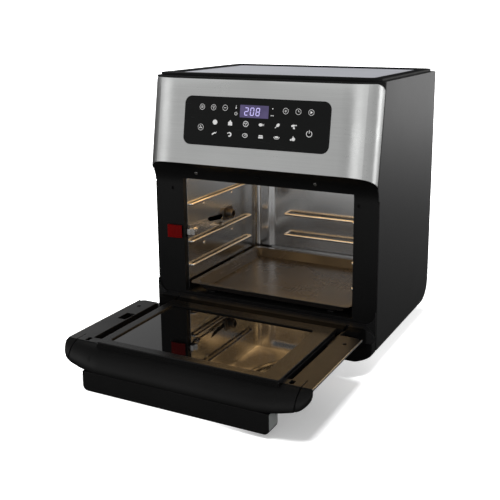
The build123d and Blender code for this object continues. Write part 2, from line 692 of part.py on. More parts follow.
with BuildPart() as release_lever:
    # flat strip along the wall, its front end turned inwards
    with BuildSketch(yz(CX0 + 0.7)):
        with BuildLine():
            Polyline((9, 119.6), (72, 120.2), (57, 131.5), (9, 133.4), close=True)
        make_face()
    extrude(amount=1.6)
    block(CX0 + 0.7, CX0 + 10, 9, 11.6, 119.6, 129)
    fillet(release_lever.edges().filter_by(Axis.Y).group_by(Axis.X)[-1], 1.2)
    # stiffening ridge that runs down behind the strip
    with BuildSketch(xz(64)):
        with BuildLine():
            Polyline((CX0 + 0.7, 124.2), (CX0 + 0.7, 120.4), (CX0 + 3.4, 120.4), close=True)
        make_face()
    extrude(amount=39, dir=(0, 1, -0.2))
    # boss on the pivot, then bar and neck to the post
    rod_x(CX0 + 0.7, CX0 + 4.0, LVY, LVZ, 5.0)
    block(CX0 + 0.4, CX0 + 6, 4, 11, 121, 129)
    block(-137.5, CX0 + 4, 4, 7.0, 123, 128)
    block(-137.5, -128.5, -1.6, 5, 123, 128)
    rod_x(CX0 - 1, CX0 + 12, LVY, LVZ, 2.05, mode=Mode.SUBTRACT)
release_lever.part.label = "release_lever"
export_step(release_lever.part, "parts/release_lever.step")

with BuildPart() as release_tip:
    with BuildSketch(xy(117.0)):
        with BuildLine():
            Polyline((-145.0, -1.6), (-145.0, -5.2), (-130.5, -5.2), (-123.0, -2.4), (-123.0, -1.6), close=True)
        make_face()
    extrude(amount=18.0)
    fillet(release_tip.edges().filter_by(Axis.Z).sort_by(Axis.Y)[0:2], 0.8)
release_tip.part.label = "release_tip"
export_step(release_tip.part, "parts/release_tip.step")

with BuildPart() as lever_pin:
    rod_x(CX0 - LT - 3, CX0 + 4.3, LVY, LVZ, 2.0)
    rod_x(CX0 + 4.3, CX0 + 5.6, LVY, LVZ, 4.0)
    rod_x(CX0 - LT - 3, CX0 - LT, LVY, LVZ, 4.0)
lever_pin.part.label = "lever_pin"
export_step(lever_pin.part, "parts/lever_pin.step")

# -------------------------------------------------- fasteners and small parts

with BuildPart() as front_screws:
    for x in (-95.5, 81.0):
        a = radians(29)
        cy, cz = -COVE_R + COVE_R * cos(a), COVE_Z + COVE_R * sin(a)
        with Locations(Plane(origin=at(x, cy - 0.45 * cos(a), cz - 0.45 * sin(a)), z_dir=(0, -cos(a), -sin(a)))):
            Cylinder(2.4, 0.6)
    fillet(front_screws.edges().filter_by(GeomType.CIRCLE).sort_by(Axis.Y)[0:2], 0.25)
front_screws.part.label = "front_screws"
export_step(front_screws.part, "parts/front_screws.step")

with BuildPart() as door_catch:
    a = radians(29)
    cy, cz = -COVE_R + COVE_R * cos(a), COVE_Z + COVE_R * sin(a)
    with Locations(Plane(origin=at(-1.8, cy - 0.75 * cos(a), cz - 0.75 * sin(a)), x_dir=(1, 0, 0),
                         z_dir=(0, -cos(a), -sin(a)))):
        Box(7, 6, 0.9)
door_catch.part.label = "door_catch"
export_step(door_catch.part, "parts/door_catch.step")

with BuildPart() as door_switch:
    block(139, 157, 3, 11, 178, 200)
    block(144, 152, 11, 17, 182, 186)
door_switch.part.label = "door_switch"
export_step(door_switch.part, "parts/door_switch.step")

with BuildPart() as cover_screws:
    for x in (-150, 150):
        for z in (60, 160, 250, 325):
            rod_y(x, BACK, REAR, z, 3.6)
cover_screws.part.label = "cover_screws"
export_step(cover_screws.part, "parts/cover_screws.step")

with BuildPart() as hinge_pins:
    for s in (-1, 1):
        rod_x(*PIN[s], HY, HZ, 3.0)
hinge_pins.part.label = "hinge_pins"
export_step(hinge_pins.part, "parts/hinge_pins.step")

# --------------------------------------------------------------------- door

with BuildPart() as door_inner_panel:
    with BuildSketch(xy(EAR - PANEL)):
        with Locations((0, (-199 + EAR_REAR) / 2)):
            RectangleRounded(2 * 163.4, 199 + EAR_REAR, 9)
        with Locations((0, -190)):
            Rectangle(2 * 163.4, 18)
        with Locations(((WX0 + WX1) / 2, (WY0 + WY1) / 2)):
            Rectangle(WX1 - WX0 - 4, WY1 - WY0 - 4, mode=Mode.SUBTRACT)
        for x in (-150.5, 150.5):
            with Locations((x, -71.3)):
                Circle(2.6, mode=Mode.SUBTRACT)
        with Locations((-143.0, -110)):
            RectangleRounded(13, 22, 1.5, mode=Mode.SUBTRACT)
        for x in (-137.5, 137.5):
            with Locations((x, -193)):
                RectangleRounded(6, 9, 1, mode=Mode.SUBTRACT)
        for x in (-151.15, 151.15):
            with Locations((x, -191)):
                Rectangle(1.0, 18, mode=Mode.SUBTRACT)
        for a, b in GROOVE.values():
            with Locations(((a + b) / 2, (GROOVE_Y + EAR_REAR) / 2)):
                Rectangle(b - a, EAR_REAR - GROOVE_Y, mode=Mode.SUBTRACT)
    extrude(amount=PANEL)
    # floor and walls of the channels
    for a, b in GROOVE.values():
        block(a - 1.2, b + 1.2, GROOVE_Y - 1.2, EAR_REAR, 21.8, 23.2)
        block(a - 1.2, a, GROOVE_Y - 1.2, EAR_REAR, 23.2, EAR - PANEL)
        block(b, b + 1.2, GROOVE_Y - 1.2, EAR_REAR, 23.2, EAR - PANEL)
        block(a, b, GROOVE_Y - 1.2, GROOVE_Y, 23.2, EAR - PANEL)
    # lower edge wall of the door
    block(-116, 116, EAR_REAR - 2.5, EAR_REAR, SKIN_Z + 1.7, EAR - PANEL)
door_inner_panel.part.label = "door_inner_panel"
export_step(door_inner_panel.part, "parts/door_inner_panel.step")

with BuildPart() as door_frame:
    with BuildSketch(xy(EAR)):
        with Locations(((FX0 + FX1) / 2, (FY0 + FY1) / 2)):
            RectangleRounded(FX1 - FX0, FY1 - FY0, 3)
        with Locations(((WX0 + WX1) / 2, (WY0 + WY1) / 2)):
            RectangleRounded(WX1 - WX0, WY1 - WY0, 4, mode=Mode.SUBTRACT)
    extrude(amount=FT - EAR)
    # skirt towards the lip
    block(FX0, FX1, FY0, FY0 + 2.5, 29.5, EAR + 2)
    fillet(door_frame.edges().group_by(Axis.Z)[-1], 0.9)
    block(WX0 - 6.3, WX1 + 6.3, WY0 - 5.3, WY1 + 5.3, EAR - 1, EAR + 3.2, mode=Mode.SUBTRACT)
door_frame.part.label = "door_frame"
export_step(door_frame.part, "parts/door_frame.step")

with BuildPart() as door_glass_inner:
    block(WX0 - 6, WX1 + 6, WY0 - 5, WY1 + 5, EAR, EAR + 3.2)
door_glass_inner.part.label = "door_glass_inner"
export_step(door_glass_inner.part, "parts/door_glass_inner.step")

SKIN_Y0, SKIN_Y1 = -198.9, -50.0
OGX, OGY0, OGY1 = 104.0, -182.0, -70.0
with BuildPart() as door_skin:
    with BuildSketch(xz(SKIN_Y0)):
        with BuildLine():
            bow_band(SKIN_PTS, SKIN_Z, SKIN_Z + 1.4)
        make_face()
    extrude(amount=SKIN_Y0 - SKIN_Y1)
    # upright edge along both sides
    for s in (-1, 1):
        x0, x1 = sorted((s * 163.7, s * HW))
        block(x0, x1, SKIN_Y0, SKIN_Y1, SKIN_Z + SKIN_BOW + 0.3, EAR - 0.1)
    with BuildSketch(xy(0)):
        with Locations((0, (OGY0 + OGY1) / 2)):
            RectangleRounded(2 * OGX, OGY1 - OGY0, 8)
    extrude(amount=SKIN_Z + 4, mode=Mode.SUBTRACT)
door_skin.part.label = "door_skin"
export_step(door_skin.part, "parts/door_skin.step")

with BuildPart() as door_glass_outer:
    block(-OGX - 6, OGX + 6, OGY0 - 6, OGY1 + 6, SKIN_Z + 1.4, SKIN_Z + 4.4)
    with BuildSketch(xy(SKIN_Z + 0.3)):
        with Locations((0, (OGY0 + OGY1) / 2)):
            RectangleRounded(2 * OGX - 0.4, OGY1 - OGY0 - 0.4, 7.8)
    extrude(amount=1.1)
door_glass_outer.part.label = "door_glass_outer"
export_step(door_glass_outer.part, "parts/door_glass_outer.step")

LIP_R = 36.0
with BuildPart() as door_lip:
    with BuildSketch(yz(-HW)):
        with BuildLine():
            CenterArc((-192, EAR - LIP_R), LIP_R, 90, 70.8)
            p = (-192 + LIP_R * cos(radians(160.8)), EAR - LIP_R + LIP_R * sin(radians(160.8)))
            Line(p, (LIP_Y, 9.5))
            Polyline((LIP_Y, 9.5), (LIP_Y + 2.0, 7.5), (-199.6, 7.5), (-199.6, EAR - PANEL - 0.1), (-192, EAR - PANEL - 0.1),
                     (-192, EAR))
        make_face()
    extrude(amount=W)
    # top edge of the door seen from above
    with BuildSketch(xy(-5)):
        with BuildLine():
            Polyline((HW, -199.6), (HW, -180), (-HW, -180), (-HW, -199.6))
            for m in (-1, 1):
                ThreePointArc((m * HW, -199.6), (m * 160.8, -208.2), (m * 150, -215.0))
                ThreePointArc((m * 150, -215.0), (m * 128, -221.8), (m * 102, LIP_Y))
            Line((102, LIP_Y), (-102, LIP_Y))
        make_face()
    extrude(amount=60, mode=Mode.INTERSECT)
    # and from the front: the ends rise with the bowed outer face
    with BuildSketch(xz(-150)):
        with BuildLine():
            Polyline((HW, 30.5), (HW, 60), (-HW, 60), (-HW, 30.5))
            for m in (-1, 1):
                ThreePointArc((m * HW, 30.5), (m * 154.5, 14.8), (m * 130, 7.4))
            Line((130, 7.4), (-130, 7.4))
        make_face()
    extrude(amount=90, mode=Mode.INTERSECT)
    # seat of the glass frame, and room for the inner panel
    block(FX0 - 0.2, FX1 + 0.2, FY0 - 0.2, -150, 29.4, 60, mode=Mode.SUBTRACT)
    block(-HW - 1, HW + 1, -199.1, -150, EAR - 3.2, 60, mode=Mode.SUBTRACT)
door_lip.part.label = "door_lip"
export_step(door_lip.part, "parts/door_lip.step")

HX, HYA, HYB, HZA, HZB = 125.0, -202.0, -224.5, -17.0, 7.5
with BuildPart() as door_handle:
    block(-HX, HX, HYB, HYA, HZA, HZB)
    fillet(door_handle.edges().filter_by(Axis.Y).group_by(Axis.Z)[0], 7)
    # finger room on the side towards the hinge
    block(-HX + 5, HX - 5, HYB + 4.5, HYA + 1, HZA + 4.5, HZB - 3, mode=Mode.SUBTRACT)
    fillet(door_handle.edges().group_by(Axis.Z)[0], 1.5)
door_handle.part.label = "door_handle"
export_step(door_handle.part, "parts/door_handle.step")


def hinge_arm(s):
    """flat arm from the door to the hinge pin"""
    x0, x1 = ARM[s]
    with BuildSketch(yz(x0)) as outline:
        with BuildLine():
            Polyline(
                (HY, HZ + 7.5), (-44, EAR - 3.2), (-78, EAR - 3.2), (-78, SKIN_Z + 8.5), (-46, SKIN_Z + 8.5),
                (-40, HZ - 7.5), (HY, HZ - 7.5),
            )
            ThreePointArc((HY, HZ + 7.5), (HY + 7.5, HZ), (HY, HZ - 7.5))
        make_face()
    extrude(outline.sketch, amount=x1 - x0)
    rod_x(x0 - 1, x1 + 1, HY, HZ, 3.05, mode=Mode.SUBTRACT)


with BuildPart() as hinge_arm_left:
    hinge_arm(-1)
hinge_arm_left.part.label = "hinge_arm_left"
export_step(hinge_arm_left.part, "parts/hinge_arm_left.step")

with BuildPart() as hinge_arm_right:
    hinge_arm(1)
hinge_arm_right.part.label = "hinge_arm_right"
export_step(hinge_arm_right.part, "parts/hinge_arm_right.step")

# ---------------------------------------------------------------- drip tray

TX0, TX1, TY0, TY1, TZR, TZF = -115.0, 127.0, 1.5, 209.0, 52.3, 41.0
with BuildPart() as drip_tray:
    tcx, tcy = (TX0 + TX1) / 2, (TY0 + TY1) / 2
    tw, tl = TX1 - TX0, TY1 - TY0
    # rim
    with BuildSketch(xy(TZR - 1)):
        with Locations((tcx, tcy)):
            RectangleRounded(tw, tl, 7)
    extrude(amount=1)
    # bowl with leaning walls
    with BuildSketch(xy(TZR - 1)):
        with Locations((tcx, tcy)):
            RectangleRounded(tw - 12, tl - 12, 10)
    extrude(amount=-(TZR - 1 - TZF + 1), taper=38)
    with BuildSketch(xy(TZR)):
        with Locations((tcx, tcy)):
            RectangleRounded(tw - 14.5, tl - 14.5, 9)
    extrude(amount=-(TZR - TZF), taper=38, mode=Mode.SUBTRACT)
drip_tray.part.label = "drip_tray"
export_step(drip_tray.part, "parts/drip_tray.step")
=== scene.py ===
import json
import math

import bmesh
import bpy
from mathutils import Matrix, Vector


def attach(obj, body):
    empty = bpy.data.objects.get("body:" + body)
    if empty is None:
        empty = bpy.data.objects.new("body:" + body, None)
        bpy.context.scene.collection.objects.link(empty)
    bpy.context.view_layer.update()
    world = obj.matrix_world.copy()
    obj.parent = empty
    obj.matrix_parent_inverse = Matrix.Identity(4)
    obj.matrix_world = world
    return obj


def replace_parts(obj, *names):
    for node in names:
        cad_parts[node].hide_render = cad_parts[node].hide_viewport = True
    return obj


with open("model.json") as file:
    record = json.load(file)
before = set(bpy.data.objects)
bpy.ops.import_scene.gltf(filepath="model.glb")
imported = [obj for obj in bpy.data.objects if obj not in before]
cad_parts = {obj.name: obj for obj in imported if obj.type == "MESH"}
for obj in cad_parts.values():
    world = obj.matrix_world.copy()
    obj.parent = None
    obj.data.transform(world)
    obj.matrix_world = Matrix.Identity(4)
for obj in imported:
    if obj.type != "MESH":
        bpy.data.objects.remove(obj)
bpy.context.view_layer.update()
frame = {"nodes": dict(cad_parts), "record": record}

NODES = frame["nodes"]
scene = bpy.context.scene
scene.view_settings.view_transform = "Standard"
scene.view_settings.look = "None"

# Placing frame: millimetres, x from the middle, y behind the recessed front
# frame, z above the casing's underside.
ZB, YF = 20.0, -6.5


def P(x, y, z):
    return Vector((x / 1000.0, (y + YF) / 1000.0, (z + ZB) / 1000.0))


# --------------------------------------------------------------------- camera
AZ, EL, ROLL = math.radians(26.389), math.radians(12.544), math.radians(-0.165)
back = Vector((math.sin(AZ) * math.cos(EL), -math.cos(AZ) * math.cos(EL), math.sin(EL)))
right = Vector((math.cos(AZ), math.sin(AZ), 0.0))
up = back.cross(right)
r2 = math.cos(ROLL) * right + math.sin(ROLL) * up
u2 = -math.sin(ROLL) * right + math.cos(ROLL) * up
cam_data = bpy.data.cameras.new("camera")
cam_data.lens = 57.91
cam_data.sensor_width = 36.0
cam_data.shift_x = -0.0484
cam_data.shift_y = -0.1063
cam_data.clip_start, cam_data.clip_end = 0.02, 60.0
cam = bpy.data.objects.new("camera", cam_data)
scene.collection.objects.link(cam)
m = Matrix((r2, u2, back)).transposed().to_4x4()
m.translation = Vector((0.478, -0.928, 0.4384))
cam.matrix_world = m
scene.camera = cam


# ------------------------------------------------------------ material helper
class Mat:
    """A procedural material around one Principled shader."""

    def __init__(self, name, **sockets):
        self.m = bpy.data.materials.new(name)
        self.m.use_nodes = True
        self.nt = self.m.node_tree
        self.nt.nodes.clear()
        self.out = self.n("ShaderNodeOutputMaterial")
        self.b = self.n("ShaderNodeBsdfPrincipled")
        self.l(self.b.outputs["BSDF"], self.out.inputs["Surface"])
        self.tc = self.n("ShaderNodeTexCoord")
        for k, v in sockets.items():
            self.b.inputs[k.replace("_", " ")].default_value = v

    def n(self, kind):
        return self.nt.nodes.new(kind)

    def l(self, a, b):
        self.nt.links.new(a, b)

    def vec(self, sx=1.0, sy=1.0, sz=1.0):
        mp = self.n("ShaderNodeMapping")
        mp.inputs["Scale"].default_value = (sx, sy, sz)
        self.l(self.tc.outputs["Object"], mp.inputs["Vector"])
        return mp.outputs["Vector"]

    def noise(self, v, scale, detail=3.0, rough=0.55, dist=0.0):
        t = self.n("ShaderNodeTexNoise")
        t.inputs["Scale"].default_value = scale
        t.inputs["Detail"].default_value = detail
        t.inputs["Roughness"].default_value = rough
        t.inputs["Distortion"].default_value = dist
        self.l(v, t.inputs["Vector"])
        return t.outputs["Fac"]

    def voronoi(self, v, scale, feature="F1"):
        t = self.n("ShaderNodeTexVoronoi")
        t.feature = feature
        t.inputs["Scale"].default_value = scale
        self.l(v, t.inputs["Vector"])
        return t.outputs["Distance"]

    def rng(self, f, a, b, c, d, smooth=False):
        t = self.n("ShaderNodeMapRange")
        t.interpolation_type = "SMOOTHSTEP" if smooth else "LINEAR"
        for i, x in zip(("From Min", "From Max", "To Min", "To Max"), (a, b, c, d)):
            t.inputs[i].default_value = x
        self.l(f, t.inputs["Value"])
        return t.outputs["Result"]

    def math(self, op, a, b):
        t = self.n("ShaderNodeMath")
        t.operation = op
        for i, x in enumerate((a, b)):
            if hasattr(x, "links"):
                self.l(x, t.inputs[i])
            else:
                t.inputs[i].default_value = x
        return t.outputs[0]

    def ramp(self, f, stops):
        t = self.n("ShaderNodeValToRGB")
        e = t.color_ramp.elements
        while len(e) > 1:
            e.remove(e[-1])
        e[0].position, e[0].color = stops[0][0], (*stops[0][1], 1.0)
        for p, c in stops[1:]:
            x = e.new(p)
            x.color = (*c, 1.0)
        self.l(f, t.inputs["Fac"])
        return t.outputs["Color"]

    def mix(self, f, a, b):
        t = self.n("ShaderNodeMix")
        t.data_type = "RGBA"
        ins = [s for s in t.inputs if s.type == "RGBA"]
        for s, x in zip(ins, (a, b)):
            if hasattr(x, "links"):
                self.l(x, s)
            else:
                s.default_value = (*x, 1.0)
        self.l(f, t.inputs[0])
        return [s for s in t.outputs if s.type == "RGBA"][0]

    def bevel(self, radius, samples=4):
        t = self.n("ShaderNodeBevel")
        t.samples = samples
        t.inputs["Radius"].default_value = radius
        return t.outputs["Normal"]

    def edge(self, bev, lo=0.55, hi=0.97):
        """1 where the surface turns sharply, 0 on open faces."""
        geo = self.n("ShaderNodeNewGeometry")
        d = self.n("ShaderNodeVectorMath")
        d.operation = "DOT_PRODUCT"
        self.l(bev, d.inputs[0])
        self.l(geo.outputs["Normal"], d.inputs[1])
        return self.rng(d.outputs["Value"], lo, hi, 1.0, 0.0)

    def bump(self, h, strength, distance, normal=None):
        t = self.n("ShaderNodeBump")
        t.inputs["Strength"].default_value = strength
        t.inputs["Distance"].default_value = distance
        self.l(h, t.inputs["Height"])
        if normal is not None:
            self.l(normal, t.inputs["Normal"])
        return t.outputs["Normal"]

    def base(self, c):
        self.l(c, self.b.inputs["Base Color"])

    def rough(self, f):
        self.l(f, self.b.inputs["Roughness"])

    def normal(self, n):
        self.l(n, self.b.inputs["Normal"])


def sc(c, k):
    return tuple(x * k for x in c)


def plastic(name, col, rough, grain=2200.0, depth=0.00003, wear=0.35, wear_col=(0.05, 0.05, 0.05), bev=0.0006, **kw):
    """moulded plastic: fine spark-eroded grain, faint cloudiness, softened and rubbed edges"""
    g = Mat(name, **kw)
    v = g.vec()
    cloud = g.noise(v, 14.0, 4.0)
    fine = g.noise(v, grain, 2.0)
    c = g.ramp(cloud, [(0.3, sc(col, 0.82)), (0.7, sc(col, 1.22))])
    bn = g.bevel(bev)
    e = g.math("MULTIPLY", g.edge(bn), g.rng(g.noise(v, 60.0, 4.0), 0.42, 0.75, 0.1, 1.0))
    c = g.mix(g.math("MULTIPLY", e, wear), c, wear_col)
    g.base(c)
    sm = g.noise(v, 32.0, 5.0, 0.6, 0.4)
    g.rough(g.math("ADD", g.rng(fine, 0.2, 0.8, rough - 0.04, rough + 0.04), g.rng(sm, 0.3, 0.7, -0.03, 0.03)))
    g.normal(g.bump(fine, 0.35, depth, bn))
    return g.m


def paint(name, col, rough, peel=420.0, depth=0.00002, wear_col=(0.16, 0.16, 0.165), **kw):
    """stoved paint on sheet: slight orange peel, faint dust and rubbed edges"""
    g = Mat(name, **kw)
    v = g.vec()
    cloud = g.noise(v, 6.0, 5.0)
    orange = g.noise(v, peel, 2.0, 0.4)
    c = g.ramp(cloud, [(0.3, sc(col, 0.95)), (0.7, sc(col, 1.05))])
    bn = g.bevel(0.0006)
    c = g.mix(g.math("MULTIPLY", g.edge(bn), 0.25), c, wear_col)
    g.base(c)
    g.rough(g.math("ADD", g.rng(g.noise(v, 7.0, 4.0, 0.5, 0.4), 0.3, 0.7, rough - 0.015, rough + 0.02),
                   g.rng(orange, 0.3, 0.7, -0.01, 0.01)))
    g.normal(g.bump(orange, 0.12, depth, bn))
    return g.m


def steel(name, col, rough, along, tint=None, streak=0.10, aniso=0.0, rot=0.0, smudge=0.05, bev=0.0005, relief=0.22, vary=0.04):
    """sheet steel with brush lines along one axis, smudges and bright cut edges"""
    g = Mat(name, Metallic=1.0, Anisotropic=aniso, Anisotropic_Rotation=rot)
    fine = [1500.0, 1500.0, 1500.0]
    mid = [260.0, 260.0, 260.0]
    fine["xyz".index(along)] = 5.0
    mid["xyz".index(along)] = 2.0
    line = g.noise(g.vec(*fine), 1.0, 2.0, 0.6)
    band = g.noise(g.vec(*mid), 1.0, 3.0, 0.6)
    v = g.vec()
    smear = g.noise(v, 11.0, 6.0, 0.62, 0.8)
    f = g.math("ADD", g.math("MULTIPLY", line, 0.55), g.math("MULTIPLY", band, 0.45))
    c = g.ramp(f, [(0.3, sc(col, 1.0 - streak)), (0.7, sc(col, 1.0 + streak))])
    if tint is not None:
        c = g.mix(g.rng(smear, 0.4, 0.75, 0.0, 0.6), c, tint)
    bn = g.bevel(bev)
    c = g.mix(g.math("MULTIPLY", g.edge(bn), 0.4), c, sc(col, 1.35))
    g.base(c)
    r = g.math("ADD", g.rng(f, 0.3, 0.7, rough - vary * 0.9, rough + vary * 1.1), g.rng(smear, 0.35, 0.7, -smudge * 0.5, smudge))
    g.rough(r)
    g.normal(g.bump(f, relief, 0.000012, bn))
    return g.m


def wire(name, col, rough, tint):
    """polished wire and turned parts: drawn lines, light heat tint"""
    g = Mat(name, Metallic=1.0)
    v = g.vec()
    n = g.noise(v, 45.0, 5.0, 0.6, 0.5)
    fine = g.noise(v, 1300.0, 2.0)
    c = g.mix(g.rng(n, 0.45, 0.8, 0.0, 0.7), sc(col, 1.0), tint)
    bn = g.bevel(0.0004)
    c = g.mix(g.math("MULTIPLY", g.edge(bn), 0.3), c, (0.9, 0.9, 0.9))
    g.base(c)
    g.rough(g.math("ADD", g.rng(fine, 0.3, 0.7, rough - 0.03, rough + 0.04), g.rng(n, 0.3, 0.7, 0.0, 0.05)))
    g.normal(g.bump(fine, 0.15, 0.00001, bn))
    return g.m


MATS = {}
MATS["body_paint"] = paint("body_paint", (0.022, 0.022, 0.0225), 0.30)
MATS["base_steel"] = paint("base_steel", (0.05, 0.05, 0.05), 0.45)
# painted shade: near-black enamel on the oven floor and the hinge arms keeps the gap under the drip tray and the hinge
# grooves dark
MATS["black_enamel"] = paint("black_enamel", (0.007, 0.007, 0.007), 0.4)
MATS["black_plastic"] = plastic("black_plastic", (0.0055, 0.0055, 0.0055), 0.42, wear_col=(0.03, 0.03, 0.03), Specular_IOR_Level=0.16)


def chin_plastic():
    """moulded lower front: satin crown; where it drops away under the door its colour is darker and its reflection
    weaker, painted shade
    """
    g = Mat("chin_plastic")
    v = g.vec()
    fine = g.noise(v, 2200.0, 2.0)
    cloud = g.noise(v, 16.0, 4.0)
    xyz = g.n("ShaderNodeSeparateXYZ")
    g.l(g.tc.outputs["Object"], xyz.inputs["Vector"])
    # painted shade: 1 on the crown, 0 where the chin drops under the door, which gets a darker colour and less
    # reflection
    crown = g.rng(xyz.outputs["Y"], -0.0215, -0.0190, 0.0, 1.0)
    c = g.ramp(cloud, [(0.3, (0.0105, 0.0105, 0.0108)), (0.7, (0.0135, 0.0135, 0.0138))])
    g.base(g.mix(crown, (0.0042, 0.0042, 0.0042), c))
    g.rough(g.rng(fine, 0.2, 0.8, 0.38, 0.44))
    g.l(g.rng(crown, 0.0, 1.0, 0.03, 0.25), g.b.inputs["Specular IOR Level"])
    g.normal(g.bump(fine, 0.3, 0.00003, g.bevel(0.0008)))
    return g.m


MATS["chin_plastic"] = chin_plastic()


def frame_plastic():
    """glass frame: satin black, its reflection faded out towards the hinge side as painted shade"""
    g = Mat("frame_plastic")
    v = g.vec()
    fine = g.noise(v, 2600.0, 2.0)
    cloud = g.noise(v, 14.0, 4.0)
    bn = g.bevel(0.0008)
    c = g.ramp(cloud, [(0.3, (0.0064, 0.0063, 0.0062)), (0.7, (0.0082, 0.0080, 0.0078))])
    g.base(g.mix(g.math("MULTIPLY", g.edge(bn), 0.3), c, (0.03, 0.03, 0.03)))
    g.rough(g.rng(fine, 0.2, 0.8, 0.24, 0.31))
    xyz = g.n("ShaderNodeSeparateXYZ")
    g.l(g.tc.outputs["Object"], xyz.inputs["Vector"])
    # painted shade: reflection strength falls from 0.28 at the front to 0.05 towards the hinge side
    g.l(g.rng(xyz.outputs["Y"], -0.082, -0.066, 0.28, 0.05), g.b.inputs["Specular IOR Level"])
    g.normal(g.bump(fine, 0.3, 0.00003, bn))
    return g.m


MATS["frame_plastic"] = frame_plastic()
MATS["door_plastic"] = plastic("door_plastic", (0.0080, 0.0078, 0.0077), 0.36, grain=2600.0, Specular_IOR_Level=0.34)
MATS["brushed_steel"] = steel("brushed_steel", (0.60, 0.607, 0.60), 0.30, "x", streak=0.07, aniso=0.7, rot=0.25)
MATS["top_paint"] = paint("top_paint", (0.50, 0.51, 0.55), 0.34, peel=700.0, wear_col=(0.6, 0.6, 0.62))
MATS["liner_steel"] = steel("liner_steel", (0.62, 0.625, 0.63), 0.19, "z", tint=(0.56, 0.55, 0.53), streak=0.008, smudge=0.02, relief=0.0, vary=0.004)
MATS["bright_wire"] = wire("bright_wire", (0.78, 0.77, 0.75), 0.16, (0.66, 0.62, 0.56))
MATS["heater_steel"] = wire("heater_steel", (0.12, 0.115, 0.11), 0.38, (0.16, 0.10, 0.07))
MATS["rubber"] = plastic("rubber", (0.018, 0.018, 0.018), 0.75, grain=900.0, depth=0.0001, wear_col=(0.06, 0.06, 0.06))
MATS["fan_alloy"] = steel("fan_alloy", (0.55, 0.55, 0.55), 0.32, "x", streak=0.06)
MATS["motor_iron"] = paint("motor_iron", (0.09, 0.09, 0.092), 0.5, peel=200.0, depth=0.0001, Metallic=0.6)
MATS["part_plastic"] = plastic("part_plastic", (0.05, 0.05, 0.05), 0.5)
MATS["lamp_ceramic"] = plastic("lamp_ceramic", (0.62, 0.60, 0.55), 0.55, wear_col=(0.7, 0.68, 0.64))
MATS["red_plastic"] = plastic("red_plastic", (0.17, 0.0006, 0.0005), 0.36, grain=1800.0, wear=0.15,
                              wear_col=(0.30, 0.004, 0.004), bev=0.0008, Specular_IOR_Level=0.08)


def handle_plastic():
    """satin black grip whose two end faces are painted light grey, a painted sheen for the light the right end catches
    """
    g = Mat("handle_plastic")
    v = g.vec()
    fine = g.noise(v, 2800.0, 2.0)
    cloud = g.noise(v, 14.0, 4.0)
    c = g.ramp(cloud, [(0.3, (0.0048, 0.0048, 0.0048)), (0.7, (0.0072, 0.0072, 0.0072))])
    bn = g.bevel(0.0008)
    c = g.mix(g.math("MULTIPLY", g.edge(bn), 0.3), c, (0.03, 0.03, 0.03))
    xyz = g.n("ShaderNodeSeparateXYZ")
    g.l(g.tc.outputs["Object"], xyz.inputs["Vector"])
    # painted sheen: both end faces take a light grey in place of the light the right end catches
    end = g.rng(g.math("ABSOLUTE", xyz.outputs["X"], 0.0), 0.12475, 0.12490, 0.0, 1.0)
    painted_sheen_grey = g.ramp(cloud, [(0.3, (0.40, 0.42, 0.41)), (0.7, (0.46, 0.48, 0.47))])
    g.base(g.mix(end, c, painted_sheen_grey))
    g.rough(g.rng(fine, 0.2, 0.8, 0.32, 0.40))
    g.normal(g.bump(fine, 0.3, 0.00003, bn))
    return g.m


MATS["handle_plastic"] = handle_plastic()


def tray_coating():
    g = Mat("tray_coating", Specular_IOR_Level=0.44)
    v = g.vec()
    cloud = g.noise(v, 12.0, 5.0, 0.6, 0.4)
    fleck = g.voronoi(v, 1500.0)
    c = g.ramp(cloud, [(0.3, (0.026, 0.0225, 0.0205)), (0.7, (0.036, 0.031, 0.028))])
    c = g.mix(g.rng(fleck, 0.05, 0.16, 0.10, 0.0), c, (0.09, 0.078, 0.07))
    bn = g.bevel(0.0008)
    c = g.mix(g.math("MULTIPLY", g.edge(bn), 0.35), c, (0.17, 0.14, 0.12))
    g.base(c)
    scr = g.noise(g.vec(900.0, 6.0, 900.0), 1.0, 2.0)
    g.rough(g.math("ADD", g.rng(cloud, 0.3, 0.7, 0.23, 0.29), g.rng(scr, 0.55, 0.75, 0.0, 0.015)))
    g.normal(g.bump(g.noise(v, 1100.0, 2.0), 0.08, 0.00002, bn))
    return g.m


MATS["tray_coating"] = tray_coating()
MATS["lip_plastic"] = plastic("lip_plastic", (0.0062, 0.0061, 0.0060), 0.42, grain=2600.0, Specular_IOR_Level=0.2)


def dark_glass(name, col, rough, ior, level):
    """tinted, coated glass with faint wipe marks"""
    g = Mat(name, IOR=ior, Specular_IOR_Level=level)
    v = g.vec()
    wipe = g.noise(g.vec(9.0, 30.0, 30.0), 1.0, 6.0, 0.65, 1.2)
    c = g.ramp(wipe, [(0.3, sc(col, 0.85)), (0.75, sc(col, 1.25))])
    g.base(c)
    g.rough(g.rng(wipe, 0.35, 0.8, rough, rough * 2.2 + 0.01))
    g.normal(g.bump(g.noise(v, 60.0, 2.0), 0.06, 0.00001, g.bevel(0.0006)))
    return g.m


MATS["black_glass"] = dark_glass("black_glass", (0.0065, 0.0070, 0.0068), 0.16, 1.45, 0.16)
MATS["door_glass"] = dark_glass("door_glass", (0.004, 0.004, 0.0042), 0.02, 1.85, 0.5)


def board_mat():
    g = Mat("board", Specular_IOR_Level=0.4)
    v = g.vec()
    tracks = g.voronoi(g.vec(1.0, 1.0, 1.0), 160.0, "DISTANCE_TO_EDGE")
    c = g.mix(g.rng(tracks, 0.03, 0.06, 0.7, 0.0), g.ramp(g.noise(v, 30.0), [(0.3, (0.008, 0.06, 0.02)), (0.7, (0.014, 0.09, 0.03))]),
              (0.03, 0.16, 0.06))
    g.base(c)
    g.rough(g.rng(g.noise(v, 200.0), 0.3, 0.7, 0.35, 0.5))
    return g.m


MATS["board"] = board_mat()


